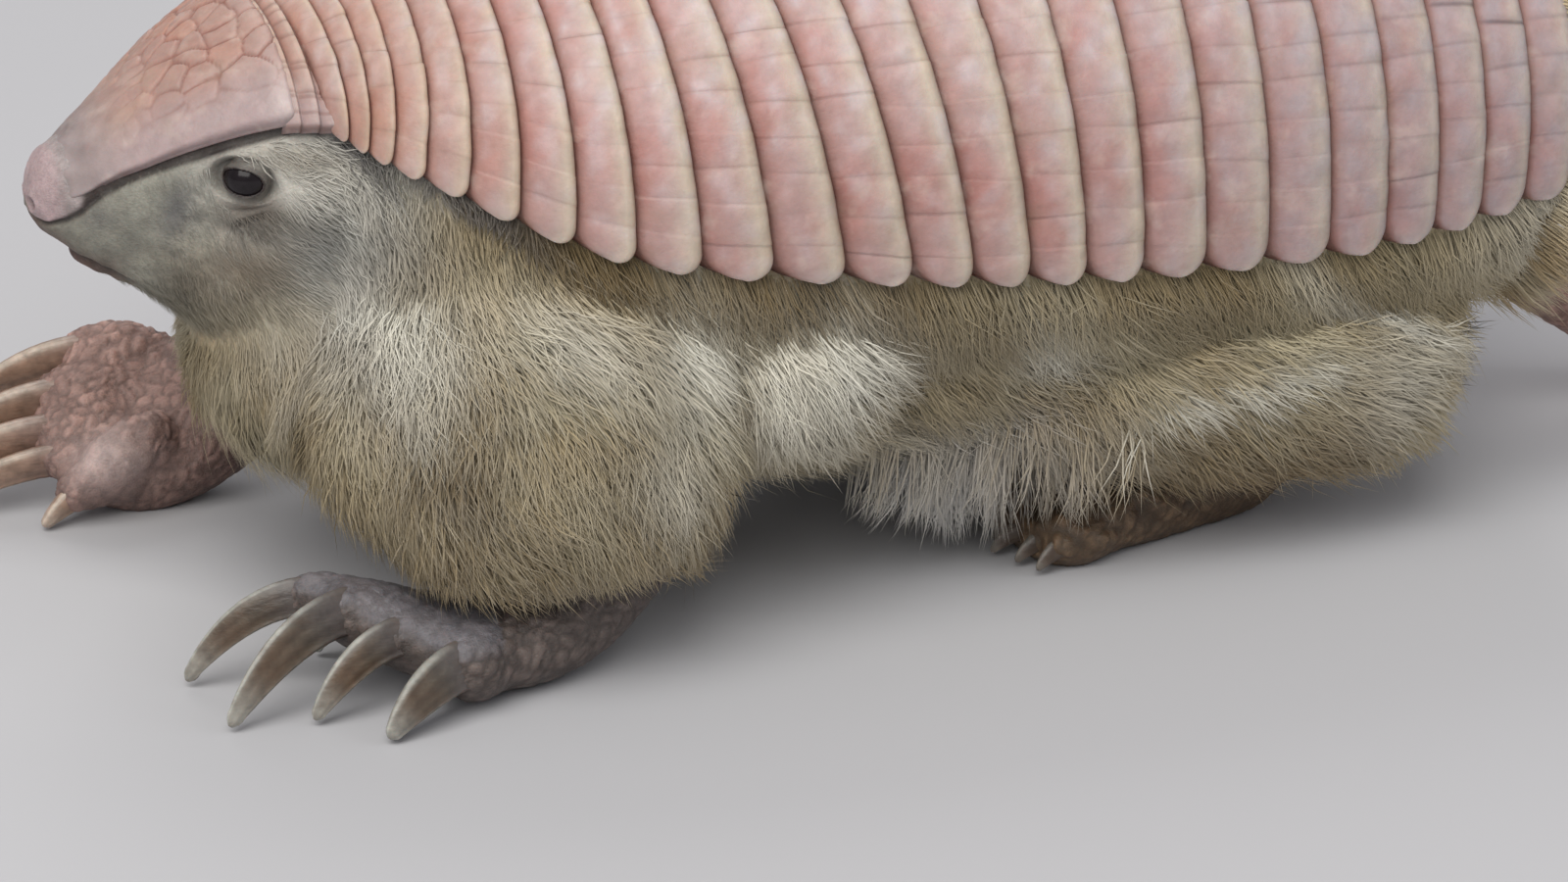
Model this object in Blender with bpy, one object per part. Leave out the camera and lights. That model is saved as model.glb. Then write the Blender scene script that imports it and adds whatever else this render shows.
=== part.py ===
"""Pink fairy armadillo, life size, standing still with its right forefoot ahead of its left.

Sizes are in millimetres, and Model.add turns them into Blender's metres. The nose points along -X, the animal's
left side faces -Y, and the soles stand on z = 0. Each outer surface is the outside of the coat or of the armour.
"""

import math

import bmesh
import bpy
import numpy as np

MM = 0.001
GAP = 0.35  # clear space between two solids that touch on the animal
BOX_CENTRE = (5.33, -0.61)  # middle of the finished animal, which the origin stands under

# ---------------------------------------------------------------- driving sizes
BANDS = 24  # movable bands of the carapace, counted from the nape
ARMOUR = 1.1  # thickness of a shell plate
BAND_STEP = 0.45  # how much a band's front edge lies below its rear edge
SHELL_REACH = math.radians(97)  # a band runs this far down each side from the middle of the back
SHELL_SQUARE = 2.2  # superellipse power of the shell's cross section; 2 is round

# band number: dorsal x and z, then x, half width and z of the widest place on the side
SHELL = (
    (0, -41.0, 42.5, -40.5, 13.0, 36.9),
    (4, -33.8, 44.6, -35.3, 17.4, 34.9),
    (8, -23.2, 46.9, -22.9, 22.4, 30.2),
    (12, -8.0, 48.3, -4.6, 23.6, 27.4),
    (16, 11.3, 48.3, 11.8, 23.6, 26.0),
    (20, 30.5, 46.2, 29.8, 22.4, 25.2),
    (24, 46.4, 42.0, 44.8, 19.5, 25.8),
)
# band number: height of the belly's fur above the floor
BELLY = ((3, 13.0), (5, 9.5), (8, 6.4), (12, 4.8), (16, 5.2), (20, 7.5), (24, 13.5))
BELLY_SQUARE = 2.5
TRUNK_START = 4.15  # band number at the base of the neck

# x: half width, top of the shield, height of the widest place, underside
HEAD = (
    (-57.4, 0.9, 31.0, 30.0, 29.0),
    (-56.9, 2.0, 32.2, 30.0, 27.9),
    (-55.6, 3.1, 33.3, 30.0, 26.8),
    (-54.5, 4.0, 34.1, 30.2, 25.3),
    (-52.4, 5.5, 35.7, 30.7, 23.8),
    (-49.4, 7.9, 38.0, 31.7, 21.6),
    (-46.0, 10.2, 40.3, 32.7, 19.2),
    (-42.0, 12.5, 42.1, 34.2, 17.2),
)
HEAD_END = -42.0
HEAD_SQUARE = 2.15
SHIELD_START, SHIELD_END = -56.0, -42.0
# x: how far the head shield reaches down each side, in degrees from straight up
SHIELD_REACH = ((-56.0, 94.0), (-54.6, 86.0), (-53.0, 76.0), (-50.5, 71.0), (-46.0, 68.5), (-42.0, 70.5))

EYE_RADIUS = 1.6
EYE = (-44.8, 9.0, 32.6)
EAR = (-41.5, 12.2, 31.4)
EAR_SIZE = (1.3, 0.8, 1.8)

THROAT = (-36.0, 0.0, 18.4)
THROAT_SIZE = (13.2, 15.8, 11.2)

RUMP_TILT = math.radians(5.6)
RUMP_CENTRE = (45.0, 0.0, 27.6)
RUMP_HALF_WIDTH, RUMP_UP, RUMP_DOWN = 18.4, 14.6, 14.2
RUMP_DOME, RUMP_THICK = 2.4, 1.5

# distance along the tail: x, y, z, half height, half width
TAIL = (
    (0, 40.5, 0.0, 17.0, 3.6, 4.0),
    (7, 47.2, 0.0, 14.6, 3.2, 3.5),
    (14, 53.4, 0.0, 9.8, 2.7, 2.9),
    (21, 59.4, 0.0, 5.4, 2.2, 2.5),
    (26, 64.2, 0.0, 3.1, 1.7, 2.6),
    (30, 68.2, 0.0, 2.1, 1.3, 3.8),
    (34, 72.2, 0.0, 1.4, 1.0, 3.4),
    (36, 74.2, 0.0, 1.1, 0.6, 1.4),
)

# Limbs: distance down the limb: x, y out from the midline, z, half size fore and aft, half size across
FORELEG_LEFT = (
    (0, -22.0, 10.0, 29.0, 10.0, 6.0),
    (8, -24.4, 16.0, 22.5, 12.4, 7.6),
    (15, -28.0, 19.2, 15.0, 13.2, 8.0),
    (20, -30.4, 20.2, 10.0, 10.8, 7.0),
    (22, -30.8, 20.4, 7.4, 8.2, 5.4),
)
FORELEG_RIGHT = (
    (0, -22.0, 9.0, 28.0, 9.0, 6.0),
    (8, -27.0, 14.4, 22.0, 10.5, 7.4),
    (15, -31.4, 17.2, 16.6, 9.6, 7.2),
    (19, -35.0, 17.8, 13.4, 7.8, 6.4),
    (21, -36.8, 18.0, 11.8, 6.2, 5.2),
)
HINDLEG = (
    (0, 9.0, 10.0, 26.0, 14.0, 7.0),
    (9, 6.5, 13.8, 17.5, 18.5, 8.0),
    (15, 4.0, 14.8, 11.0, 18.6, 7.2),
    (18, 2.8, 13.8, 8.0, 16.8, 5.4),
    (19.5, 2.2, 13.2, 6.4, 13.8, 4.2),
)  # x counts from the middle of the foot
HINDFOOT = (
    (0, 13.4, -1.2, 4.0, 2.2, 2.4),
    (2, 11.6, -1.0, 4.0, 3.3, 3.3),
    (9, 5.0, 0.0, 3.2, 3.7, 3.8),
    (16, -2.0, 1.2, 2.3, 2.7, 4.6),
    (20, -6.4, 2.2, 1.7, 2.0, 4.4),
    (21, -7.6, 2.4, 1.6, 1.2, 3.2),
)  # x and y count from the middle of the foot, y outwards
HINDFOOT_LEFT_AT, HINDFOOT_RIGHT_AT = (15.0, 10.4), (17.6, 10.4)
HINDCLAW = dict(length=4.6, height=1.1, width=0.75, drop=1.0)
HINDCLAW_FAN = ((-3.4, -14), (-1.8, -6), (0.0, 0), (1.8, 7), (3.2, 16))  # place across, turn in degrees

# distance along the hand: x, y, z, half height, half width, from wrist to knuckles; y outwards
FOREFOOT_LEFT = (
    (0, 11.6, 0.5, 8.2, 2.2, 2.6),
    (4.2, 8.0, 0.4, 5.8, 3.0, 3.6),
    (9.5, 3.0, 0.3, 3.6, 3.8, 4.8),
    (15.5, -3.0, -0.3, 3.1, 3.5, 5.2),
    (19.5, -6.8, -1.8, 3.8, 2.9, 4.4),
    (22.6, -9.4, -3.3, 4.5, 2.3, 3.1),
    (23.9, -10.6, -3.9, 4.7, 1.6, 2.3),
)
FOREFOOT_RIGHT = (
    (0, 9.4, 0.8, 8.8, 2.6, 3.0),
    (2, 7.6, 0.6, 7.8, 3.6, 4.2),
    (8, 2.0, 0.0, 4.7, 3.8, 5.8),
    (13, -2.6, 0.0, 4.3, 3.0, 6.3),
    (15, -4.6, 0.0, 4.4, 2.2, 5.4),
    (16, -5.4, 0.0, 4.4, 1.4, 4.0),
)
# The hands: where the middle stands, turn that swings the claws outwards, roll that lifts the outer side
FOREFOOT_LEFT_AT, FOREFOOT_LEFT_TURN, FOREFOOT_LEFT_ROLL = (-31.0, 19.8), 10, 0
FOREFOOT_RIGHT_AT, FOREFOOT_RIGHT_TURN, FOREFOOT_RIGHT_ROLL = (-44.5, 19.4), 12, 38
# claw by claw from the inner digit: place across, root x, root height before the hand's roll, turn in degrees,
# length, height, width, height of the tip
FORECLAWS_LEFT = (
    (-5.5, -5.6, 3.0, -40, 5.5, 0.9, 0.7, 0.4),
    (-5.1, -10.3, 5.5, -22, 9.7, 1.4, 0.9, 0.5),
    (-2.5, -9.3, 5.5, 9, 10.8, 1.5, 1.0, 0.5),
    (0.4, -7.2, 4.4, 4, 7.6, 1.4, 1.0, 0.5),
    (3.5, -4.6, 3.1, 18, 7.7, 2.0, 1.2, 0.5),
)
FORECLAWS_RIGHT = (
    (-5.6, -2.8, 6.2, -26, 6.0, 1.3, 1.0, 0.4),
    (-3.1, -3.8, 5.6, -8, 13.0, 1.4, 1.0, 0.4),
    (-1.1, -4.0, 5.6, -6, 15.0, 1.8, 1.3, 1.2),
    (1.8, -3.4, 5.6, -4, 12.6, 1.8, 1.3, 3.4),
    (4.7, -1.4, 6.0, 3, 12.0, 1.7, 1.2, 5.4),
)

# ---------------------------------------------------------------- colours: base colour, roughness
LOOKS = {
    "fur": ((0.36, 0.30, 0.20), 0.9),
    "short_fur": ((0.36, 0.35, 0.30), 0.8),
    "shell": ((0.66, 0.42, 0.37), 0.45),
    "scaly_skin": ((0.20, 0.13, 0.10), 0.6),
    "claw": ((0.30, 0.26, 0.20), 0.35),
    "eye": ((0.01, 0.008, 0.008), 0.08),
}


def smooth(stations, at):
    """Values at one place between the rows of stations, on a smooth curve through them."""
    rows = np.array(stations, float)
    knots, values = rows[:, 0], rows[:, 1:]
    slopes = np.gradient(values, knots, axis=0)
    i = int(np.clip(np.searchsorted(knots, at, side="right") - 1, 0, len(knots) - 2))
    span = knots[i + 1] - knots[i]
    s = (at - knots[i]) / span
    ahead = s * s * (3 - 2 * s)
    bend_in = s * (1 - s) ** 2 * span * slopes[i]
    bend_out = s * s * (s - 1) * span * slopes[i + 1]
    return values[i] * (1 - ahead) + values[i + 1] * ahead + bend_in + bend_out


def squared(angle, power):
    """Sine and cosine side of a superellipse of half sizes 1, at an angle from its top."""
    s, c = math.sin(angle), math.cos(angle)
    r = (abs(s) ** power + abs(c) ** power) ** (-1 / power)
    return r * s, r * c


def unit(v):
    return v / np.linalg.norm(v)


class Model:
    """The nodes, all under one empty that stands at the origin."""

    def __init__(self):
        self.root = bpy.data.objects.new("armadillo", None)
        bpy.context.scene.collection.objects.link(self.root)
        self.looks = {name: self.look(name, *values) for name, values in LOOKS.items()}

    def look(self, name, colour, roughness):
        material = bpy.data.materials.new(name)
        material.use_nodes = True
        shader = material.node_tree.nodes["Principled BSDF"]
        shader.inputs["Base Color"].default_value = (*colour, 1.0)
        shader.inputs["Roughness"].default_value = roughness
        shader.inputs["Metallic"].default_value = 0.0
        return material

    def add(self, name, points, faces, look, helper=False):
        """One object from points in millimetres. A helper is a cutter, and isn't a node."""
        points = np.array(points, float) - (*BOX_CENTRE, 0.0)
        points[:, 2] = np.maximum(points[:, 2], 0.0)  # the floor flattens what would pass through it
        mesh = bpy.data.meshes.new(name)
        mesh.from_pydata((points * MM).tolist(), [], faces)
        sides = bmesh.new()
        sides.from_mesh(mesh)
        bmesh.ops.recalc_face_normals(sides, faces=sides.faces)
        sides.to_mesh(mesh)
        sides.free()
        obj = bpy.data.objects.new(name, mesh)
        bpy.context.scene.collection.objects.link(obj)
        obj.parent = self.root
        if helper:
            obj.hide_render = True
            obj.display_type = "WIRE"
            return obj
        mesh.materials.append(self.looks[look])
        mesh.shade_smooth()
        mesh.set_sharp_from_angle(angle=math.radians(40))
        return obj

    def loft(self, name, rings, look, helper=False):
        """A closed skin over rings of equally many points, with a fan over each end."""
        points, faces = self.tube(rings)
        around = len(rings[0])
        for first in (0, len(points) - around):
            points.append(np.mean(points[first : first + around], axis=0))
            for j in range(around):
                faces.append((first + j, first + (j + 1) % around, len(points) - 1))
        return self.add(name, points, faces, look, helper)

    def plate(self, name, rings, look, helper=False):
        """A closed skin over rings that run along a plate's outside and back along its inside."""
        points, faces = self.tube(rings)
        around = len(rings[0])
        for first in (0, len(points) - around):
            for j in range(around // 2 - 1):
                last = first + around - 1
                faces.append((first + j, first + j + 1, last - j - 1, last - j))
        return self.add(name, points, faces, look, helper)

    def tube(self, rings):
        """Points and side faces of a tube through the rings, open at both ends."""
        around = len(rings[0])
        points = [np.array(p, float) for ring in rings for p in ring]
        faces = []
        for low in range(0, len(points) - around, around):
            for j in range(around):
                k = (j + 1) % around
                faces.append((low + j, low + k, low + around + k, low + around + j))
        return points, faces

    def cut(self, obj, *cutters):
        self.boolean(obj, cutters, "DIFFERENCE")

    def join(self, obj, *others):
        self.boolean(obj, others, "UNION")

    def boolean(self, obj, others, operation):
        """All the others at once, so that no cut has to start from the rounded result of the one before."""
        group = bpy.data.collections.new(f"{obj.name} {operation.lower()}")
        for other in others:
            group.objects.link(other)
        modifier = obj.modifiers.new(operation.lower(), "BOOLEAN")
        modifier.operation = operation
        modifier.operand_type = "COLLECTION"
        modifier.collection = group
        modifier.solver = "EXACT"


def clear_scene():
    for obj in list(bpy.data.objects):
        bpy.data.objects.remove(obj)


# ---------------------------------------------------------------- surfaces
def shell_point(u, t, lift=0.0):
    """Point on the carapace at band number u. t runs from -1 at the left rim over the back to 1."""
    dorsal_x, dorsal_z, side_x, half_width, side_z = smooth(SHELL, u)
    middle = np.array((side_x, 0.0, side_z))
    up = np.array((dorsal_x, 0.0, dorsal_z)) - middle
    across, high = squared(t * SHELL_REACH, SHELL_SQUARE)
    return (
        middle
        + unit(up) * high * (np.linalg.norm(up) + lift)
        + np.array((0.0, across * (half_width + lift), 0.0))
    )


def trunk_ring(u, lift, over, under):
    """Cross section of the trunk at band number u: the shell's inside above, and the furry belly below."""
    inside = lift - ARMOUR - GAP
    ring = [shell_point(u, t, inside) for t in np.linspace(-1, 1, over)]
    rim = ring[-1]
    dorsal_x, dorsal_z, side_x, _, side_z = smooth(SHELL, u)
    down = -unit(np.array((dorsal_x - side_x, 0.0, dorsal_z - side_z)))
    drop = (rim[2] - float(smooth(BELLY, u)[0]) + lift) / abs(down[2])
    for angle in np.linspace(0, math.pi, under + 2)[1:-1]:
        deep, across = squared(angle, BELLY_SQUARE)
        middle = np.array((rim[0], 0.0, rim[2]))
        ring.append(middle + down * drop * deep + np.array((0.0, rim[1] * across, 0.0)))
    return ring


def head_point(x, angle, lift=0.0):
    """Point on the head at x. The angle runs from 0 at the top to 180 degrees at the underside, left negative."""
    half_width, top, side, under = smooth(HEAD, x)
    across, high = squared(angle, HEAD_SQUARE)
    tall = top - side if high > 0 else side - under
    return np.array((x, across * (half_width + lift), side + high * (tall + lift)))


def head_ring(x, lift, around):
    return [head_point(x, angle, lift) for angle in np.linspace(-math.pi, math.pi, around, endpoint=False)]


def shield_rings(stations, turns, outer, inner, extra=0.0):
    """Lines along the head shield, out over its top and back underneath, from its left edge to its right."""
    reaches = [float(smooth(SHIELD_REACH, np.clip(x, SHIELD_START, SHIELD_END))[0]) + extra for x in stations]
    rings = []
    for t in turns:
        angles = [t * math.radians(reach) for reach in reaches]
        outside = [head_point(x, angle, outer) for x, angle in zip(stations, angles)]
        inside = [head_point(x, angle, inner) for x, angle in zip(stations, angles)]
        rings.append(outside + inside[::-1])
    return rings


def tube_rings(path, along, around, reference, lift=0.0, power=2.0):
    """Rings round a curved path. Each path row is distance, x, y, z, half size towards reference, half size across."""
    length = path[-1][0]
    stations = np.linspace(0, length, along)
    middles = np.array([smooth(path, s)[:3] for s in stations])
    rings = []
    for i, s in enumerate(stations):
        tangent = unit(middles[min(i + 1, along - 1)] - middles[max(i - 1, 0)])
        side = unit(np.cross(tangent, reference))
        high = np.cross(side, tangent)
        tall, wide = smooth(path, s)[3:5] + lift
        ring = []
        for angle in np.linspace(0, 2 * math.pi, around, endpoint=False):
            across, up = squared(angle, power)
            ring.append(middles[i] + side * across * wide + high * up * tall)
        rings.append(ring)
    return rings


def ellipsoid(centre, size, along, around):
    """Rings of an ellipsoid, from its front end to its rear end."""
    rings = []
    for polar in np.linspace(0, math.pi, along)[1:-1]:
        ring = []
        for angle in np.linspace(0, 2 * math.pi, around, endpoint=False):
            out = (-math.cos(polar), math.sin(polar) * math.sin(angle), math.sin(polar) * math.cos(angle))
            ring.append(np.array(centre) + np.array(out) * size)
        rings.append(ring)
    return rings


def placed(path, at, side, turn=0.0):
    """A limb's path set down at a place: side is -1 on the left, and the turn swings its front outwards."""
    c, s = math.cos(math.radians(turn)), math.sin(math.radians(turn))
    rows = []
    for distance, x, y, z, tall, wide in path:
        rows.append((distance, at[0] + x * c + y * s, side * (at[1] - x * s + y * c), z, tall, wide))
    return rows


def mirrored(point, side):
    return (point[0], side * point[1], point[2])


# ---------------------------------------------------------------- nodes
def build_cutters(model):
    """Slightly larger copies of the body's main shapes, which keep their neighbours clear of them."""
    over, under = 15, 11
    trunk = [trunk_ring(u, GAP, over, under) for u in np.linspace(TRUNK_START - 0.12, BANDS, 11)]
    nape = [trunk_ring(u, GAP * 0.8, over, under) for u in (-0.3, 1.0, 2.3, 3.6, 5.0, 6.4)]
    head = [head_ring(x, GAP, 24) for x in head_stations(GAP)]
    stations = np.linspace(SHIELD_START - GAP, SHIELD_END + 2 * GAP, 8)
    shield = shield_rings(stations, np.linspace(-1, 1, 9), 1.5, -ARMOUR - GAP, 3.5)
    rims = []
    for t in np.linspace(-1.04, 1.04, 15):
        outside = [shell_point(u, t, GAP) for u in np.linspace(-0.2, BANDS + 0.2, 11)]
        inside = [shell_point(u, t, -ARMOUR - GAP * 1.2) for u in np.linspace(BANDS + 0.2, -0.2, 11)]
        rims.append(outside + inside)
    return {
        "trunk": model.loft("trunk_clearance", trunk, None, helper=True),
        "nape": model.loft("nape_clearance", nape, None, helper=True),
        "throat": model.loft(
            "throat_clearance",
            ellipsoid(THROAT, np.array(THROAT_SIZE) + GAP, 11, 18),
            None,
            helper=True,
        ),
        "head": model.loft("head_clearance", head, None, helper=True),
        "shell": model.plate("shell_clearance", rims, None, helper=True),
        "shield": model.plate("shield_clearance", shield, None, helper=True),
        "ear_left": ear_clearance(model, "left", -1),
        "ear_right": ear_clearance(model, "right", 1),
    }


def ear_clearance(model, word, side):
    rings = ellipsoid(mirrored(EAR, side), np.array(EAR_SIZE) + GAP, 7, 8)
    return model.loft(f"ear_{word}_clearance", rings, None, helper=True)


def head_stations(extra=0.0):
    front = HEAD[0][0] - extra
    return (front, -56.9, -55.6, -53.6, -51.2, -48.6, -45.8, -43.6, HEAD_END + extra)


def build_trunk(model):
    rings = [trunk_ring(u, 0.0, 15, 11) for u in np.linspace(TRUNK_START, BANDS, 11)]
    return model.loft("trunk", rings, "fur")


def build_neck(model, cutters):
    """The nape under the first bands, with the furry throat and breast that hang below it."""
    nape = model.loft(
        "neck",
        [trunk_ring(u, 0.0, 15, 11) for u in (0.1, 1.0, 2.0, 3.0, TRUNK_START - 0.2)],
        "fur",
    )
    throat = model.loft("throat_shape", ellipsoid(THROAT, THROAT_SIZE, 11, 18), None, helper=True)
    model.join(nape, throat)
    model.cut(nape, *(cutters[name] for name in ("trunk", "head", "shell", "ear_left", "ear_right")))
    return nape


def build_head(model, cutters):
    head = model.loft("head", [head_ring(x, 0.0, 24) for x in head_stations()], "short_fur")
    beds = [cutters["shield"]]
    for side, word in ((-1, "left"), (1, "right")):
        socket = model.loft(
            f"socket_{word}",
            ellipsoid(mirrored(EYE, side), np.full(3, EYE_RADIUS + GAP), 7, 9),
            None,
            helper=True,
        )
        beds += [socket, cutters[f"ear_{word}"]]
        model.loft(
            f"eye_{word}", ellipsoid(mirrored(EYE, side), np.full(3, EYE_RADIUS), 8, 10), "eye"
        )
        model.loft(f"ear_{word}", ellipsoid(mirrored(EAR, side), EAR_SIZE, 6, 8), "short_fur")
    model.cut(head, *beds)


def build_head_shield(model):
    stations = np.linspace(SHIELD_START, SHIELD_END, 9)
    rings = shield_rings(stations, np.linspace(-1, 1, 11), 0.0, -ARMOUR)
    return model.plate("head_shield", rings, "shell")


def build_bands(model):
    """The carapace: each band is a bent strip, lowest at its front edge, with a rounded tip at each rim."""
    steps = (-1, -0.965, *np.linspace(-0.86, 0.86, 11), 0.965, 1)
    for i in range(BANDS):
        middle = i + 0.5
        pace = np.linalg.norm(shell_point(middle + 0.5, 0) - shell_point(middle - 0.5, 0))
        half = 0.5 - GAP / 2 / pace
        rings = []
        for t in steps:
            full = 1.0 if abs(t) < 1 else 0.66
            front, rear = middle - half * full, middle + half * full
            rings.append(
                (
                    shell_point(front, t, -ARMOUR),
                    shell_point(front, t, -BAND_STEP),
                    shell_point(rear, t, 0.0),
                    shell_point(rear, t, -ARMOUR),
                )
            )
        model.plate(f"shell_band_{i + 1:02d}", rings, "shell")


def rump_point(across, up, out):
    """Point on the rump's disc: across and up in its plane, out along its normal to the rear."""
    c, s = math.cos(RUMP_TILT), math.sin(RUMP_TILT)
    return np.array(RUMP_CENTRE) + np.array((up * s + out * c, across, up * c - out * s))


def build_rump_shield(model, tail_clearance, cutters):
    """The flat disc that closes the rear, domed a little, with a notch at its foot for the tail."""
    around = 28
    start = GAP + 0.25
    rings = []
    for radius, out in ((1.0, start), (1.0, start + RUMP_THICK * 0.6), (0.93, start + RUMP_THICK + 0.2),
                        (0.7, start + RUMP_THICK + RUMP_DOME * 0.6), (0.35, start + RUMP_THICK + RUMP_DOME)):
        ring = []
        for angle in np.linspace(0, 2 * math.pi, around, endpoint=False):
            across, up = squared(angle, 2.3)
            tall = RUMP_UP if up > 0 else RUMP_DOWN
            ring.append(rump_point(across * radius * RUMP_HALF_WIDTH, up * radius * tall, out))
        rings.append(ring)
    plate = model.loft("rump_shield", rings, "shell")
    model.cut(plate, tail_clearance, cutters["trunk"])


def build_tail(model, cutters):
    tail = model.loft("tail", tube_rings(TAIL, 13, 12, (0, 0, 1)), "scaly_skin")
    model.cut(tail, cutters["trunk"])
    return model.loft("tail_clearance", tube_rings(TAIL, 13, 12, (0, 0, 1), GAP), None, helper=True)


def build_leg(model, name, path, cutters):
    """A furry limb, cut off where it enters the body. Returns the cutter that clears its foot."""
    leg = model.loft(name, tube_rings(path, 8, 16, (-1, 0, 0)), "fur")
    model.cut(leg, cutters["trunk"], cutters["nape"], cutters["throat"], cutters["shell"])
    return model.loft(
        f"{name}_clearance", tube_rings(path, 8, 16, (-1, 0, 0), GAP), None, helper=True
    )


def claw_path(root, turn, side, length, height, width, drop):
    """A claw that runs forwards from its root and curves down to the floor."""
    c, s = math.cos(math.radians(turn)), math.sin(math.radians(turn))
    rows = []
    for share, tall in ((0.0, 0.6), (0.16, 1.0), (0.4, 0.97), (0.65, 0.8), (0.87, 0.5), (1.0, 0.2)):
        out = share * length
        fall = drop * (1.6 * share**2 - 0.6 * share)
        rows.append(
            (out, root[0] - out * c, side * (root[1] + out * s), root[2] - fall, height * tall, width * tall)
        )
    return rows


def build_forefoot(model, word, side, shape, at, turn, roll, claws, leg_clearance):
    """A hand with its five digging claws."""
    c, s = math.cos(math.radians(turn)), math.sin(math.radians(turn))
    flat, steep = math.cos(math.radians(roll)), math.sin(math.radians(roll))
    upright = np.array((-steep * s, -side * steep * c, flat))
    path = placed(shape, at, side, turn)
    hand = model.loft(f"forefoot_{word}", tube_rings(path, 9, 14, upright, power=2.3), "scaly_skin")
    model.cut(hand, leg_clearance)
    swollen = tube_rings(path, 9, 14, upright, GAP, 2.3)
    clearance = model.loft(f"forefoot_{word}_clearance", swollen, None, helper=True)
    for digit, (across, root_x, rise, swing, length, height, width, tip) in enumerate(claws, 1):
        out = across * flat
        root_z = rise + across * steep
        root = (at[0] + root_x * c + out * s, at[1] - root_x * s + out * c, root_z)
        rows = claw_path(root, turn + swing, side, length, height, width, root_z - tip)
        claw = model.loft(f"foreclaw_{word}_{digit}", tube_rings(rows, 7, 6, upright), "claw")
        model.cut(claw, clearance)


def build_hindfoot(model, word, side, at, leg_clearance, cutters):
    """A long narrow sole with five short claws grown on to it."""
    foot = model.loft(
        f"hindfoot_{word}",
        tube_rings(placed(HINDFOOT, at, side), 9, 12, (0, 0, 1), power=2.3),
        "scaly_skin",
    )
    claws = []
    for digit, (across, swing) in enumerate(HINDCLAW_FAN, 1):
        root = (at[0] - 6.0 + abs(across) * 0.5, at[1] + 2.2 + across, 1.9)
        rings = tube_rings(claw_path(root, swing, side, **HINDCLAW), 4, 5, (0, 0, 1))
        claws.append(model.loft(f"hindclaw_{word}_{digit}_shape", rings, None, helper=True))
    model.join(foot, *claws)
    model.cut(foot, leg_clearance, cutters["trunk"])


def main():
    clear_scene()
    model = Model()
    cutters = build_cutters(model)
    build_trunk(model)
    build_neck(model, cutters)
    build_head(model, cutters)
    build_head_shield(model)
    build_bands(model)
    tail_clearance = build_tail(model, cutters)
    build_rump_shield(model, tail_clearance, cutters)
    left = build_leg(model, "foreleg_left", placed(FORELEG_LEFT, (0, 0), -1), cutters)
    right = build_leg(model, "foreleg_right", placed(FORELEG_RIGHT, (0, 0), 1), cutters)
    left_pose = (FOREFOOT_LEFT, FOREFOOT_LEFT_AT, FOREFOOT_LEFT_TURN, FOREFOOT_LEFT_ROLL, FORECLAWS_LEFT)
    right_pose = (FOREFOOT_RIGHT, FOREFOOT_RIGHT_AT, FOREFOOT_RIGHT_TURN, FOREFOOT_RIGHT_ROLL, FORECLAWS_RIGHT)
    build_forefoot(model, "left", -1, *left_pose, left)
    build_forefoot(model, "right", 1, *right_pose, right)
    for word, side, at in (("left", -1, HINDFOOT_LEFT_AT), ("right", 1, HINDFOOT_RIGHT_AT)):
        path = placed(HINDLEG, (at[0], 0), side)
        clearance = build_leg(model, f"hindleg_{word}", path, cutters)
        build_hindfoot(model, word, side, at, clearance, cutters)


main()
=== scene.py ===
"""Pink fairy armadillo: one skin, a plated shell, claws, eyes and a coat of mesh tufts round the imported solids.

Sizes are in millimetres in the CAD's own layout and become the frame's metres in to_frame. The nose points along
-X and the animal's left side faces -Y. Angles are in degrees and colours are screen colours from 0 to 255, except
where a name or a comment says otherwise.
"""

import contextlib
import math

import bmesh
import bpy
import numpy as np
from mathutils import Matrix, Vector, kdtree, noise


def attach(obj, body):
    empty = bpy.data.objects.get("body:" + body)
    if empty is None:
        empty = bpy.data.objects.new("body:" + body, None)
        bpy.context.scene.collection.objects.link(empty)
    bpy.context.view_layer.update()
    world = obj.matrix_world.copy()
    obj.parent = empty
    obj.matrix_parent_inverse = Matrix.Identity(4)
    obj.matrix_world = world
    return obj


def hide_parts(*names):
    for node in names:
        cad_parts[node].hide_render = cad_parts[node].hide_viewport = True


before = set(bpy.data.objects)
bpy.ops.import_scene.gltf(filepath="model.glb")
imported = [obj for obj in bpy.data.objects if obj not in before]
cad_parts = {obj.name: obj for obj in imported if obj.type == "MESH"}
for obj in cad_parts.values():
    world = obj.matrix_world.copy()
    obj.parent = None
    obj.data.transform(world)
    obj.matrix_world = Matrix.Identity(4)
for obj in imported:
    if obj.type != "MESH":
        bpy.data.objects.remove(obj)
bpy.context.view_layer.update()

MM = 0.001
CENTRE = np.array((5.33, -0.61, 0.0))  # the point of the floor that the origin lies on
FLOOR_CLEAR = 0.03  # how far above the floor the lowest skin stays
UPRIGHT = (0.0, 0.0, 1.0)
FORWARD = (-1.0, 0.0, 0.0)

# ---------------------------------------------------------------- the body's sizes, as in the solids
# the shell: its bands, its thickness, how far round the back it reaches, how square its arch is
BANDS = 24
ARMOUR = 1.1
SHELL_REACH = math.radians(97)
SHELL_SQUARE = 2.2
SHELL = (
    (0, -41.0, 42.5, -40.5, 13.0, 36.9),
    (4, -33.8, 44.6, -35.3, 17.4, 34.9),
    (8, -23.2, 46.9, -22.9, 22.4, 30.2),
    (12, -8.0, 48.3, -4.6, 23.6, 27.4),
    (16, 11.3, 48.3, 11.8, 23.6, 26.0),
    (20, 30.5, 46.2, 29.8, 22.4, 25.2),
    (24, 46.4, 42.0, 44.8, 19.5, 25.8),
)  # band number: dorsal x and z, then x, half width and z of the widest place
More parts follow.
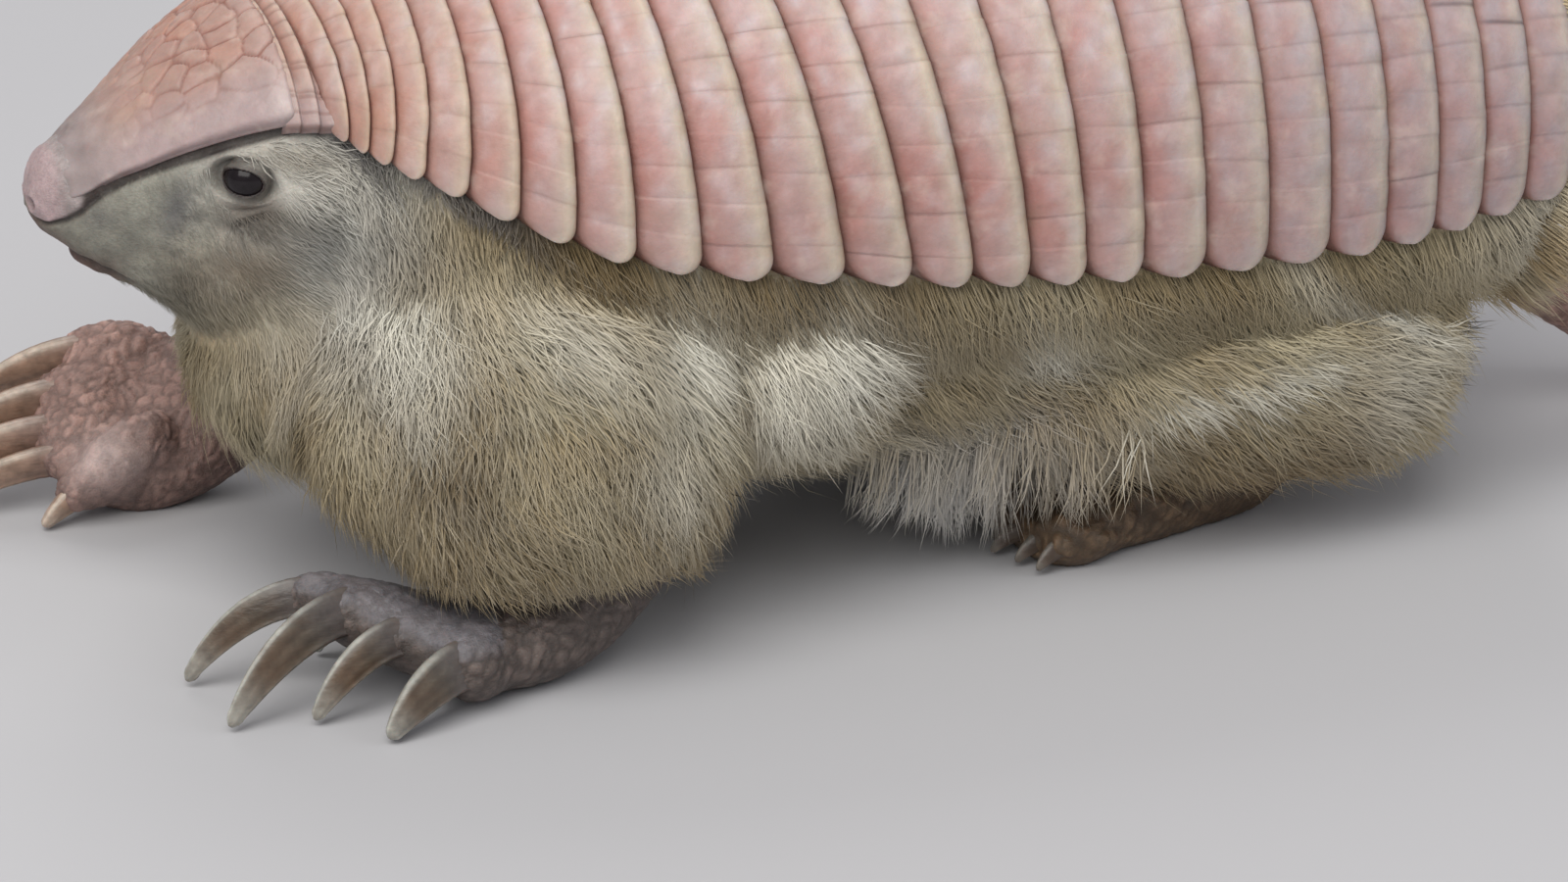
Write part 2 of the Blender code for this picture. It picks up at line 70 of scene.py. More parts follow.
# band number: height of the belly's underside
BELLY = ((3, 13.0), (5, 9.5), (8, 6.4), (12, 4.8), (16, 5.2), (20, 7.5), (24, 13.5))
BELLY_SQUARE = 2.5
HEAD = (
    (-57.4, 0.9, 31.0, 30.0, 29.0),
    (-56.9, 2.0, 32.2, 30.0, 27.9),
    (-55.6, 3.1, 33.3, 30.0, 26.8),
    (-54.5, 4.0, 34.1, 30.2, 25.3),
    (-52.4, 5.5, 35.7, 30.7, 23.8),
    (-49.4, 7.9, 38.0, 31.7, 21.6),
    (-46.0, 10.2, 40.3, 32.7, 19.2),
    (-42.0, 12.5, 42.1, 34.2, 17.2),
)  # x: half width, top, height of the widest place, underside
HEAD_SQUARE = 2.15
HEAD_END = -40.0  # how far back the head's curves are followed
SHIELD_START, SHIELD_END = -56.0, -42.0
# x: how far round from the top of the head its shield reaches
SHIELD_REACH = ((-56.0, 94.0), (-54.6, 86.0), (-53.0, 76.0), (-50.5, 71.0), (-46.0, 68.5), (-42.0, 70.5))
# the same for the line under shield and nose, which runs on to the tip of the nose
SHIELD_LINE = (
    (-57.4, 150.0), (-56.8, 134.0), (-56.2, 120.0), (-55.2, 103.0), (-54.3, 91.0), (-53.3, 81.0), (-51.9, 75.0),
    (-50.2, 72.5), (-46.0, 70.0), (-43.0, 71.5), (-40.5, 77.0),
)
EYE_RADIUS = 1.6
EYE = np.array((-44.8, 9.0, 32.6))
EAR = np.array((-41.5, 12.2, 31.4))
EAR_SIZE = np.array((1.3, 0.8, 1.8))
THROAT = np.array((-36.0, 0.0, 18.4))
THROAT_SIZE = np.array((13.2, 15.8, 11.2))
RUMP_TILT = 5.6  # degrees
RUMP_CENTRE = np.array((45.0, 0.0, 27.6))
RUMP_HALF_WIDTH, RUMP_UP, RUMP_DOWN = 18.4, 14.6, 14.2
# how far the rump plate swells, how thick it is, and how far out from its plane it starts
RUMP_DOME, RUMP_THICK, RUMP_START = 2.4, 1.5, 0.6
RUMP_SQUARE = 2.3
# paths of tail, limbs and feet: distance along, x, y, z, half height (of a leg: half length), half width
TAIL = (
    (0, 40.5, 0.0, 17.0, 3.6, 4.0),
    (7, 47.2, 0.0, 14.6, 3.2, 3.5),
    (14, 53.4, 0.0, 9.8, 2.7, 2.9),
    (21, 59.4, 0.0, 5.4, 2.2, 2.5),
    (26, 64.2, 0.0, 3.1, 1.7, 2.6),
    (30, 68.2, 0.0, 2.1, 1.3, 3.8),
    (34, 72.2, 0.0, 1.4, 1.0, 3.4),
    (36, 74.2, 0.0, 1.1, 0.6, 1.4),
)
FORELEG = {
    -1: (
        (0, -22.0, 10.0, 29.0, 10.0, 6.0),
        (8, -24.4, 16.0, 22.5, 12.4, 7.6),
        (15, -28.0, 19.2, 15.0, 13.2, 8.0),
        (20, -30.4, 20.2, 10.0, 10.8, 7.0),
        (22, -30.8, 20.4, 7.4, 8.2, 5.4),
    ),
    1: (
        (0, -22.0, 9.0, 28.0, 9.0, 6.0),
        (8, -27.0, 14.4, 22.0, 10.5, 7.4),
        (15, -31.4, 17.2, 16.6, 9.6, 7.2),
        (19, -35.0, 17.8, 13.4, 7.8, 6.4),
        (21, -36.8, 18.0, 11.8, 6.2, 5.2),
    ),
}
HINDLEG = (
    (0, 9.0, 10.0, 26.0, 14.0, 7.0),
    (9, 6.5, 13.8, 17.5, 18.5, 8.0),
    (15, 4.0, 14.8, 11.0, 18.6, 7.2),
    (18, 2.8, 13.8, 8.0, 16.8, 5.4),
    (19.5, 2.2, 13.2, 6.4, 13.8, 4.2),
)
HINDFOOT = (
    (0, 13.4, -1.2, 4.0, 2.2, 2.4),
    (2, 11.6, -1.0, 4.0, 3.3, 3.3),
    (9, 5.0, 0.0, 3.2, 3.7, 3.8),
    (16, -2.0, 1.2, 2.3, 2.7, 4.6),
    (20, -6.4, 2.2, 1.7, 2.0, 4.4),
    (21, -7.6, 2.4, 1.6, 1.2, 3.2),
)
# where each side's hind foot stands, and its claws: place across the foot, turn
HINDFOOT_AT = {-1: (15.0, 10.4), 1: (17.6, 10.4)}
HINDCLAW_FAN = ((-3.4, -14), (-1.8, -6), (0.0, 0), (1.8, 7), (3.2, 16))
FOREFOOT = {
    -1: (
        (0, 11.6, 0.5, 8.2, 2.2, 2.6),
        (4.2, 8.0, 0.4, 5.8, 3.0, 3.6),
        (9.5, 3.0, 0.3, 3.6, 3.8, 4.8),
        (15.5, -3.0, -0.3, 3.1, 3.5, 5.2),
        (19.5, -6.8, -1.8, 3.8, 2.9, 4.4),
        (22.6, -9.4, -3.3, 4.5, 2.3, 3.1),
        (23.9, -10.6, -3.9, 4.7, 1.6, 2.3),
    ),
    1: (
        (0, 9.4, 0.8, 8.8, 2.6, 3.0),
        (2, 7.6, 0.6, 7.8, 3.6, 4.2),
        (8, 2.0, 0.0, 4.7, 3.8, 5.8),
        (13, -2.6, 0.0, 4.3, 3.0, 6.3),
        (15, -4.6, 0.0, 4.4, 2.2, 5.4),
        (16, -5.4, 0.0, 4.4, 1.4, 4.0),
    ),
}
# where each side's hand stands, and how far it is turned outwards and rolled
FOREFOOT_AT = {-1: (-31.0, 19.8), 1: (-44.5, 19.4)}
FOREFOOT_TURN = {-1: 10, 1: 12}
FOREFOOT_ROLL = {-1: 0, 1: 38}
# for each claw: place across, x, height of the root, turn, length, half height, half width, height of the tip
FORECLAWS = {
    -1: (
        (-5.5, -5.6, 3.0, -40, 5.5, 0.9, 0.7, 0.4),
        (-5.1, -10.3, 5.5, -22, 9.7, 1.6, 0.9, 0.5),
        (-2.5, -9.3, 5.5, 9, 10.8, 1.95, 1.0, 0.5),
        (0.4, -7.2, 4.4, 4, 7.6, 1.55, 1.0, 0.5),
        (3.5, -4.6, 3.1, 18, 7.7, 2.0, 1.2, 0.5),
    ),
    1: (
        (-5.6, -2.8, 6.2, -26, 6.0, 1.3, 1.0, 0.4),
        (-3.1, -3.8, 5.6, -8, 13.0, 1.4, 1.0, 0.4),
        (-1.1, -4.0, 5.6, -6, 15.0, 1.8, 1.3, 1.2),
        (1.8, -3.4, 5.6, -4, 12.6, 1.8, 1.3, 3.4),
        (4.7, -1.4, 6.0, 3, 12.0, 1.7, 1.2, 5.4),
    ),
}
WORD = {-1: "left", 1: "right"}


# ---------------------------------------------------------------- numbers and curves
def curve(stations, at):
    """Values at places between the rows of stations, on a smooth curve through them."""
    rows = np.array(stations, float)
    knots, values = rows[:, 0], rows[:, 1:]
    slopes = np.gradient(values, knots, axis=0)
    at = np.asarray(at, float)
    i = np.clip(np.searchsorted(knots, at, side="right") - 1, 0, len(knots) - 2)
    span = (knots[i + 1] - knots[i])[..., None]
    s = (at - knots[i])[..., None] / span
    ahead = s * s * (3 - 2 * s)
    bend = s * (1 - s) ** 2 * span * slopes[i] + s * s * (s - 1) * span * slopes[i + 1]
    return values[i] * (1 - ahead) + values[i + 1] * ahead + bend


def steps(low, high, x):
    """0 below low, 1 above high, smooth between."""
    s = np.clip((np.asarray(x, float) - low) / (high - low), 0, 1)
    return s * s * (3 - 2 * s)


def bump(x, width):
    """1 at 0, falling smoothly to nothing a little beyond width."""
    return np.exp(-((np.asarray(x, float) / width) ** 2))


def squared(angle, power):
    """Sine and cosine of angles round a rounded square; power 2 is a circle."""
    s, c = np.sin(angle), np.cos(angle)
    r = (np.abs(s) ** power + np.abs(c) ** power) ** (-1 / power)
    return r * s, r * c


def cos_sin(degrees):
    """Cosine and sine."""
    return math.cos(math.radians(degrees)), math.sin(math.radians(degrees))


def unit(v):
    """Vectors with length 1."""
    return v / np.maximum(np.linalg.norm(v, axis=-1, keepdims=True), 1e-9)


def stack(x, y, z):
    """Points from three coordinates of shapes that fit together."""
    return np.stack(np.broadcast_arrays(x, y, z), -1).astype(float)


def to_frame(points):
    """Metres in the frame from millimetres in the CAD's own layout."""
    return (np.asarray(points, float) - CENTRE) * MM


def mirrored(point, side):
    """A point of the right side (y above 0) on the side asked for: -1 left, 1 right."""
    return np.array((point[0], side * point[1], point[2]))


def wave(points, pitch, seed):
    """Smooth noise from -1 to 1 at each point, from a sum of turned sine waves about pitch long."""
    dice = np.random.default_rng(seed)
    total = np.zeros(len(points))
    for octave in range(7):
        direction = unit(dice.normal(size=3)) * (0.7 + 0.6 * dice.random()) * 2 * math.pi / pitch
        warp = np.sin(points @ (unit(dice.normal(size=3)) * 2 / pitch) + dice.random() * 6)
        total += np.sin(points @ direction + warp * 1.4 + dice.random() * 6.28)
    return total / 3.2


def sway(points, pitch, seed):
    """Smooth noise with three parts at each point."""
    return np.stack([wave(points, pitch, seed + k) for k in range(3)], -1)


def patches(points, pitch, seed):
    """Smooth noise from 0 to 1 at each point."""
    return np.clip(0.5 + 0.5 * wave(points, pitch, seed), 0, 1)


def srgb(*parts):
    """Linear colour from a screen colour of 0 to 255."""
    c = np.array(parts, float) / 255
    return np.where(c <= 0.04045, c / 12.92, ((c + 0.055) / 1.055) ** 2.4)


def mix(a, b, share):
    """a where share is 0, b where it is 1."""
    share = np.asarray(share, float)[..., None]
    return a * (1 - share) + b * share


def layered(colours, *coats):
    """Colours with each coat, a share and a screen colour, mixed over them in turn."""
    for share, *colour in coats:
        colours = mix(colours, srgb(*colour), share)
    return colours


def ramp(keys, at):
    """Colours along rows of a place and a screen colour."""
    places, shades = [k[0] for k in keys], np.array([srgb(*k[1:]) for k in keys])
    return np.stack([np.interp(at, places, shades[:, c]) for c in range(3)], -1)


def has(names, word):
    """Which names have the word in them."""
    return np.char.find(names, word) >= 0


def tree_of(points):
    """A search tree over points."""
    tree = kdtree.KDTree(len(points))
    for n, p in enumerate(points):
        tree.insert(p, n)
    tree.balance()
    return tree


def nearest_in(tree, points):
    """Numbers of the tree's points that are nearest to the points."""
    return np.array([tree.find(p)[1] for p in points.tolist()])


def cell_pattern(points, seeds):
    """How much further the second nearest seed is than the nearest one, and which seed is the nearest."""
    tree = tree_of(seeds)
    beyond, which = np.zeros(len(points)), np.zeros(len(points), int)
    for n, p in enumerate(points):
        (_, first, d0), (_, _, d1) = tree.find_n(Vector(p), 2)
        beyond[n], which[n] = d1 - d0, first
    return beyond, which


# ---------------------------------------------------------------- surfaces
def shell_at(u, t, lift=0.0):
    """Points on the carapace at band number u; t runs from -1 at the left rim over the back to 1."""
    u, t, lift = np.broadcast_arrays(np.asarray(u, float), t, lift)
    dorsal_x, dorsal_z, side_x, half_width, side_z = np.moveaxis(curve(SHELL, u), -1, 0)
    up = stack(dorsal_x - side_x, 0.0, dorsal_z - side_z)
    tall = np.linalg.norm(up, axis=-1)
    across, high = squared(t * SHELL_REACH, SHELL_SQUARE)
    middle = stack(side_x, 0.0, side_z)
    return middle + up * (high * (tall + lift) / tall)[..., None] + stack(0.0, across * (half_width + lift), 0.0)


def rim_height(x):
    """Height of the shell's rim at each x."""
    u = np.linspace(0, BANDS, 97)
    rim = shell_at(u, 1.0)
    return np.interp(x, rim[:, 0], rim[:, 2])


def trunk_at(u, inset, over, under):
    """Cross sections of the trunk's skin: under the shell above, and inset by the coat's depth below."""
    rings = []
    for at in u:
        ring = list(shell_at(at, np.linspace(-1, 1, over), -ARMOUR - 0.45))
        rim = shell_at(at, 1.0, -ARMOUR - 0.35)
        dorsal_x, dorsal_z, side_x, _, side_z = curve(SHELL, at)
        down = -unit(np.array((dorsal_x - side_x, 0.0, dorsal_z - side_z)))
        drop = (rim[2] - curve(BELLY, at)[0] - inset) / abs(down[2])
        for angle in np.linspace(0, math.pi, under + 2)[1:-1]:
            deep, across = squared(angle, BELLY_SQUARE)
            half = rim[1] - inset * steps(0, 0.4, deep)
            ring.append(np.array((rim[0], half * across, rim[2])) + down * drop * deep)
        rings.append(ring)
    return np.array(rings)


def head_at(x, angle, lift=0.0):
    """Points on the head at x; the angle runs from 0 on the top to pi below."""
    x, angle, lift = np.broadcast_arrays(np.asarray(x, float), angle, lift)
    half_width, top, side, under = np.moveaxis(curve(HEAD, x), -1, 0)
    across, high = squared(angle, HEAD_SQUARE)
    tall = np.where(high > 0, top - side, side - under)
    return stack(x, across * (half_width + lift), side + high * (tall + lift))


def head_turn(points):
    """Degrees from the top round the head at each point, and how long a degree is there."""
    x, y, z = points.T
    half_width, top, side, under = np.moveaxis(curve(HEAD, np.clip(x, HEAD[0][0], HEAD_END)), -1, 0)
    tall = np.maximum(np.where(z > side, top - side, side - under), 0.3)
    turn = np.degrees(np.arctan2(np.abs(y) / half_width, (z - side) / tall))
    return turn, np.radians(1) * np.hypot(y, z - side)


def line_distance(points):
    """Millimetres from the line under the shield and nose; positive below it."""
    turn, size = head_turn(points)
    line = np.interp(points[:, 0], *np.array(SHIELD_LINE).T)
    return (turn - line) * size


def tube_at(path, along, around, reference, lift=0.0, power=2.0):
    """Rings round a curved path of rows: distance, x, y, z, half size towards reference, half size across."""
    rows = curve(path, np.linspace(0, path[-1][0], along))
    tangent = unit(np.gradient(rows[:, :3], axis=0))
    side = unit(np.cross(tangent, reference))
    high = np.cross(side, tangent)
    across, up = squared(np.linspace(0, 2 * math.pi, around, endpoint=False), power)
    tall = np.maximum(rows[:, 3:4] + lift, 0.2)[..., None]
    wide = np.maximum(rows[:, 4:5] + lift, 0.2)[..., None]
    across, up = across[None, :, None], up[None, :, None]
    return rows[:, None, :3] + side[:, None] * across * wide + high[:, None] * up * tall


def ellipsoid(centre, size, along, around):
    """Rings of an ellipsoid along x, without its two ends."""
    polar = np.linspace(0, math.pi, along)[1:-1, None]
    angle = np.linspace(0, 2 * math.pi, around, endpoint=False)[None]
    out = stack(-np.cos(polar), np.sin(polar) * np.sin(angle), np.sin(polar) * np.cos(angle))
    return np.array(centre) + out * size


def placed(path, at, side, turn=0.0):
    """A path of a limb on one side of the body, turned outwards by degrees and moved to its place."""
    c, s = cos_sin(turn)
    return [
        (d, at[0] + x * c + y * s, side * (at[1] - x * s + y * c), z, tall, wide) for d, x, y, z, tall, wide in path
    ]


def rump_at(across, up, out):
    """Points by their place on the tilted plane of the rump plate, and out from it."""
    c, s = cos_sin(RUMP_TILT)
    return RUMP_CENTRE + stack(up * s + out * c, across, up * c - out * s)


def rump_edge(angles):
    """How far across and up the rim of the rump plate is at each angle."""
    across, up = squared(angles, RUMP_SQUARE)
    return across, up, np.where(up > 0, RUMP_UP, RUMP_DOWN)


# ---------------------------------------------------------------- meshes
def grid_faces(rows, cols, wrap=False, first=0):
    """Quads of a grid of points, closed round its columns where wrap is true."""
    r = np.arange(rows - 1)[:, None] * cols
    c = np.arange(cols if wrap else cols - 1)[None]
    d = (c + 1) % cols
    corners = np.broadcast_arrays(r + c, r + d, r + cols + d, r + cols + c)
    return np.stack(corners, -1).reshape(-1, 4) + first


def closed(rings):
    """Points and faces of a tube through rings, with a fan over each end."""
    rows, cols = rings.shape[:2]
    points = np.concatenate((rings.reshape(-1, 3), [rings[0].mean(0), rings[-1].mean(0)]))
    j = np.arange(cols)
    k = (j + 1) % cols
    last, hub = (rows - 1) * cols, np.full(cols, rows * cols)
    caps = np.concatenate((np.stack((k, j, hub), -1), np.stack((last + j, last + k, hub + 1), -1)))
    return points, [grid_faces(rows, cols, True), caps]


def gathered(parts):
    """Several (points, faces) as one."""
    points, faces, first = [], [], 0
    for more, sets in parts:
        points.append(more)
        faces += [f + first for f in sets]
        first += len(more)
    return np.concatenate(points), faces


@contextlib.contextmanager
def reworked(mesh):
    """The mesh as a bmesh that is written back afterwards."""
    work = bmesh.new()
    work.from_mesh(mesh)
    yield work
    work.to_mesh(mesh)
    work.free()


def face_outwards(mesh):
    with reworked(mesh) as work:
        bmesh.ops.recalc_face_normals(work, faces=work.faces)


def merged(mesh, distance):
    """Joins the points that lie within distance metres of each other, and turns the faces outwards."""
    with reworked(mesh) as work:
        bmesh.ops.remove_doubles(work, verts=work.verts, dist=distance)
        bmesh.ops.recalc_face_normals(work, faces=work.faces)
    mesh.shade_smooth()


def drop_loose(mesh):
    """Removes the points that no face uses, keeping the others in order, and turns the faces outwards."""
    with reworked(mesh) as work:
        bmesh.ops.delete(work, geom=[v for v in work.verts if not v.link_faces], context="VERTS")
        bmesh.ops.recalc_face_normals(work, faces=work.faces)
    mesh.shade_smooth()


def refine(mesh, wanted):
    """Splits the edges whose two ends are wanted."""
    with reworked(mesh) as work:
        work.verts.ensure_lookup_table()
        chosen = [e for e in work.edges if wanted[e.verts[0].index] and wanted[e.verts[1].index]]
        bmesh.ops.subdivide_edges(work, edges=chosen, cuts=1, use_grid_fill=True)
        bmesh.ops.triangulate(work, faces=[f for f in work.faces if len(f.verts) > 4])


def fill(name, points, faces):
    """A smooth mesh from points in metres and arrays of triangles and quads."""
    mesh = bpy.data.meshes.new(name)
    corners = np.concatenate([f.ravel() for f in faces]).astype(np.int32)
    sizes = np.concatenate([np.full(len(f), f.shape[1]) for f in faces])
    mesh.vertices.add(len(points))
    mesh.vertices.foreach_set("co", np.ascontiguousarray(points, np.float32).ravel())
    mesh.loops.add(len(corners))
    mesh.loops.foreach_set("vertex_index", corners)
    mesh.polygons.add(len(sizes))
    mesh.polygons.foreach_set("loop_start", np.concatenate(([0], np.cumsum(sizes)[:-1])).astype(np.int32))
    mesh.update(calc_edges=True)
    mesh.validate()
    mesh.shade_smooth()
    return mesh


def tint(mesh, colours):
    """Writes linear colours on the points, which the materials start from."""
    values = np.ones((len(colours), 4), np.float32)
    values[:, :3] = np.clip(colours, 0, 1)
    mesh.attributes.new("tint", "FLOAT_COLOR", "POINT").data.foreach_set("color", values.ravel())


def read(mesh, what="co"):
    """The points of a mesh as they are stored, or its normals."""
    data = mesh.vertices if what == "co" else mesh.vertex_normals
    values = np.zeros(len(mesh.vertices) * 3, np.float32)
    data.foreach_get("co" if what == "co" else "vector", values)
    return values.reshape(-1, 3).astype(float)


def write(mesh, points):
    """Moves the points of a mesh."""
    mesh.vertices.foreach_set("co", points.astype(np.float32).ravel())
    mesh.update()


def millimetres(mesh):
    """The points of a finished mesh in the CAD's own layout."""
    return read(mesh) / MM + CENTRE


def edges_of(mesh):
    """The two points of each edge."""
    edges = np.zeros(len(mesh.edges) * 2, np.int32)
    mesh.edges.foreach_get("vertices", edges)
    return edges.reshape(-1, 2)


def link(name, data):
    """A new object in the scene."""
    obj = bpy.data.objects.new(name, data)
    bpy.context.scene.collection.objects.link(obj)
    return obj


def piece(name, mesh, material, slot, *nodes):
    """One visible piece, which rides the body and stands in for the nodes."""
    obj = link(name, mesh)
    mesh.materials.append(material)
    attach(obj, "root")
    if nodes:
        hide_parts(*nodes)


def solid_piece(name, points, faces, colours, material, slot, *nodes):
    """A visible piece from points in millimetres, with its faces turned outwards."""
    mesh = fill(name, to_frame(points), faces)
    face_outwards(mesh)
    tint(mesh, colours)
    piece(name, mesh, material, slot, *nodes)


# ---------------------------------------------------------------- materials
class Look:
    """A material whose colour starts from the mesh's tint, with noise, bump and a Principled shader."""

    def __init__(self, name, **sockets):
        self.material = bpy.data.materials.new(name)
        self.material.use_nodes = True
        self.tree = self.material.node_tree
        self.shader = self.tree.nodes["Principled BSDF"]
        for socket, value in sockets.items():
            self.shader.inputs[socket.replace("_", " ")].default_value = value
        self.colour = self.node("ShaderNodeAttribute", {}, "Color", attribute_name="tint")
        self.place = self.node("ShaderNodeTexCoord", {}, "Object")
        self.height = None

    def node(self, kind, inputs, output=0, **settings):
        """An output of a new node, whose inputs are values or other nodes' outputs."""
        node = self.tree.nodes.new(kind)
        for key, value in settings.items():
            setattr(node, key, value)
        for socket, value in inputs.items():
            if isinstance(value, bpy.types.NodeSocket):
                self.join(value, node.inputs[socket])
            else:
                node.inputs[socket].default_value = value
        return node.outputs[output]

    def join(self, output, socket):
        self.tree.links.new(output, socket)

    def stretched(self, pitch, stretch=(1, 1, 1)):
        """Inputs of a texture with features about pitch millimetres across."""
        scale = [s / (pitch * MM) for s in stretch]
        return {"Vector": self.node("ShaderNodeMapping", {"Scale": scale, "Vector": self.place}), "Scale": 1.0}

    def noise(self, pitch, detail, stretch=(1, 1, 1)):
        """Noise from 0 to 1."""
        inputs = {**self.stretched(pitch, stretch), "Detail": detail, "Roughness": 0.55}
        return self.node("ShaderNodeTexNoise", inputs, "Fac")

    def cells(self, pitch):
        """Distance from the edges of cells."""
        return self.node("ShaderNodeTexVoronoi", self.stretched(pitch), "Distance", feature="DISTANCE_TO_EDGE")

    def range(self, value, low, high, out_low, out_high):
        """The value's range from low to high turned into another."""
        inputs = {"Value": value, "From Min": low, "From Max": high, "To Min": out_low, "To Max": out_high}
        return self.node("ShaderNodeMapRange", inputs, "Result")

    def scaled(self, share):
        """The colour so far times share at each place."""
        self.colour = self.node("ShaderNodeVectorMath", {0: self.colour, "Scale": share}, operation="SCALE")

    def toward(self, colour, share):
        """The colour so far mixed towards another by share at each place."""
        inputs = {"Factor": share, 6: self.colour, 7: (*srgb(*colour), 1)}
        self.colour = self.node("ShaderNodeMix", inputs, 2, data_type="RGBA")

    def bumped(self, value, depth):
        """Adds a fine height of depth millimetres."""
        inputs = {"Strength": 1.0, "Distance": depth * MM, "Height": value}
        if self.height:
            inputs["Normal"] = self.height
        self.height = self.node("ShaderNodeBump", inputs)

    def done(self):
        self.join(self.colour, self.shader.inputs["Base Color"])
        if self.height:
            self.join(self.height, self.shader.inputs["Normal"])
        return self.material


def make_looks():
    """The materials: shell, skin, claw, eye and fur."""
    shell = Look("shell", Roughness=0.46, Subsurface_Weight=0.15, Subsurface_Scale=0.0008, Specular_IOR_Level=0.4)
    shell.scaled(shell.range(shell.noise(1.1, 5), 0.3, 0.7, 0.9, 1.1))
    shell.toward((214, 196, 184), shell.range(shell.noise(2.4, 3), 0.56, 0.8, 0, 0.4))
    shell.toward((150, 92, 80), shell.range(shell.noise(1.7, 6), 0.6, 0.85, 0, 0.3))
    shell.toward((150, 128, 104), shell.range(shell.noise(3.6, 5), 0.55, 0.8, 0, 0.3))
    shell.bumped(shell.noise(0.35, 5), 0.05)
    shell.bumped(shell.noise(0.12, 3), 0.014)
    shell.join(shell.range(shell.noise(0.9, 4), 0.3, 0.7, 0.38, 0.6), shell.shader.inputs["Roughness"])
    skin = Look("skin", Roughness=0.6, Subsurface_Weight=0.1, Subsurface_Scale=0.0006)
    skin.scaled(skin.range(skin.noise(0.9, 5), 0.3, 0.7, 0.8, 1.14))
    skin.scaled(skin.range(skin.noise(0.16, 4, (0.5, 1, 1)), 0.3, 0.7, 0.86, 1.12))
    skin.bumped(skin.noise(0.3, 5), 0.06)
    skin.bumped(skin.noise(0.12, 3, (0.45, 1, 1)), 0.05)
    skin.bumped(skin.cells(0.22), 0.02)
    skin.join(skin.range(skin.noise(0.7, 4), 0.3, 0.7, 0.42, 0.7), skin.shader.inputs["Roughness"])
    claw = Look("claw", Roughness=0.4, Subsurface_Weight=0.08, Subsurface_Scale=0.0006, Coat_Weight=0.1)
    claw.scaled(claw.range(claw.noise(0.8, 5), 0.3, 0.7, 0.72, 1.2))
    claw.toward((84, 64, 48), claw.range(claw.noise(1.3, 6, (0.4, 1, 1)), 0.52, 0.78, 0, 0.55))
    claw.bumped(claw.noise(0.25, 5, (0.25, 1, 1)), 0.05)
    eye = Look("eye", Roughness=0.16, Specular_IOR_Level=0.28)
    eye.scaled(eye.range(eye.noise(0.6, 3), 0.3, 0.7, 0.8, 1.2))
    fur = Look("fur", Roughness=0.7, Specular_IOR_Level=0.2, Subsurface_Weight=0.2, Subsurface_Scale=0.0006)
    fur.shader.inputs["Subsurface Radius"].default_value = (1.0, 0.95, 0.9)
    fur.scaled(fur.range(fur.noise(1.6, 4), 0.3, 0.7, 0.9, 1.08))
    return {"shell": shell.done(), "skin": skin.done(), "claw": claw.done(), "eye": eye.done(), "fur": fur.done()}


# ---------------------------------------------------------------- shell
SCUTE = 2.6  # about how wide one scute of a band is
SCUTE_SHARES = np.array((0.0, 0.035, 0.09, 0.27, 0.5, 0.73, 0.91, 0.965))  # columns of points across a scute
BAND_TIP = 2.2  # the longest that a band's rounded end gets
BAND_MIDDLE = 0.54  # where between front 0 and rear 1 the rounded ends come together
BAND_OUTER = (
    (-0.18, -1.0), (-0.06, -0.8), (0.02, -0.58), (0.08, -0.42), (0.17, -0.28), (0.3, -0.16), (0.46, -0.06),
    (0.6, 0.02), (0.72, 0.08), (0.82, 0.11), (0.9, 0.08), (0.955, -0.02), (0.99, -0.18), (1.0, -0.38),
)  # rows along a band's outer side: place from front 0 to rear 1, height over the shell's surface
BAND_INNER = ((0.99, -0.66), (0.9, -0.9), (0.0, -1.12), (-0.15, -1.14))
BAND_COLOURS = (
    (-0.1, 84, 50, 42), (0.03, 124, 86, 74), (0.1, 164, 122, 110), (0.22, 182, 142, 132), (0.5, 188, 154, 144),
    (0.68, 194, 168, 152), (0.85, 206, 188, 164), (0.96, 182, 158, 134), (1.0, 134, 106, 86),
)  # from a band's front, darkened where it lies under the band before (painted shade with some dirt), to its rear: place, screen colour
BAND_REDS = (
    (-0.1, 84, 48, 40), (0.05, 132, 84, 72), (0.2, 176, 116, 104), (0.55, 188, 136, 124), (0.7, 192, 156, 140),
    (0.86, 204, 184, 160), (1.0, 134, 106, 86),
)  # the same where the band is redder
NAPE_COLOURS = (
    (0.0, 110, 74, 64), (0.12, 160, 120, 104), (0.35, 186, 148, 132), (0.7, 194, 166, 148), (0.9, 186, 156, 136),
    (1.0, 110, 74, 64),
)  # from the front to the rear of each narrow band
SHELL_TONE = np.array((1.0, 1.04, 1.12))  # what evens out the shell's colours under the studio's light
NOTCH_AT, NOTCH_RADIUS = np.array((0.0, -RUMP_DOWN + 0.6)), 4.7
RUMP_MIDDLE = np.array((0.0, -4.0))  # what the arcs of scutes run round


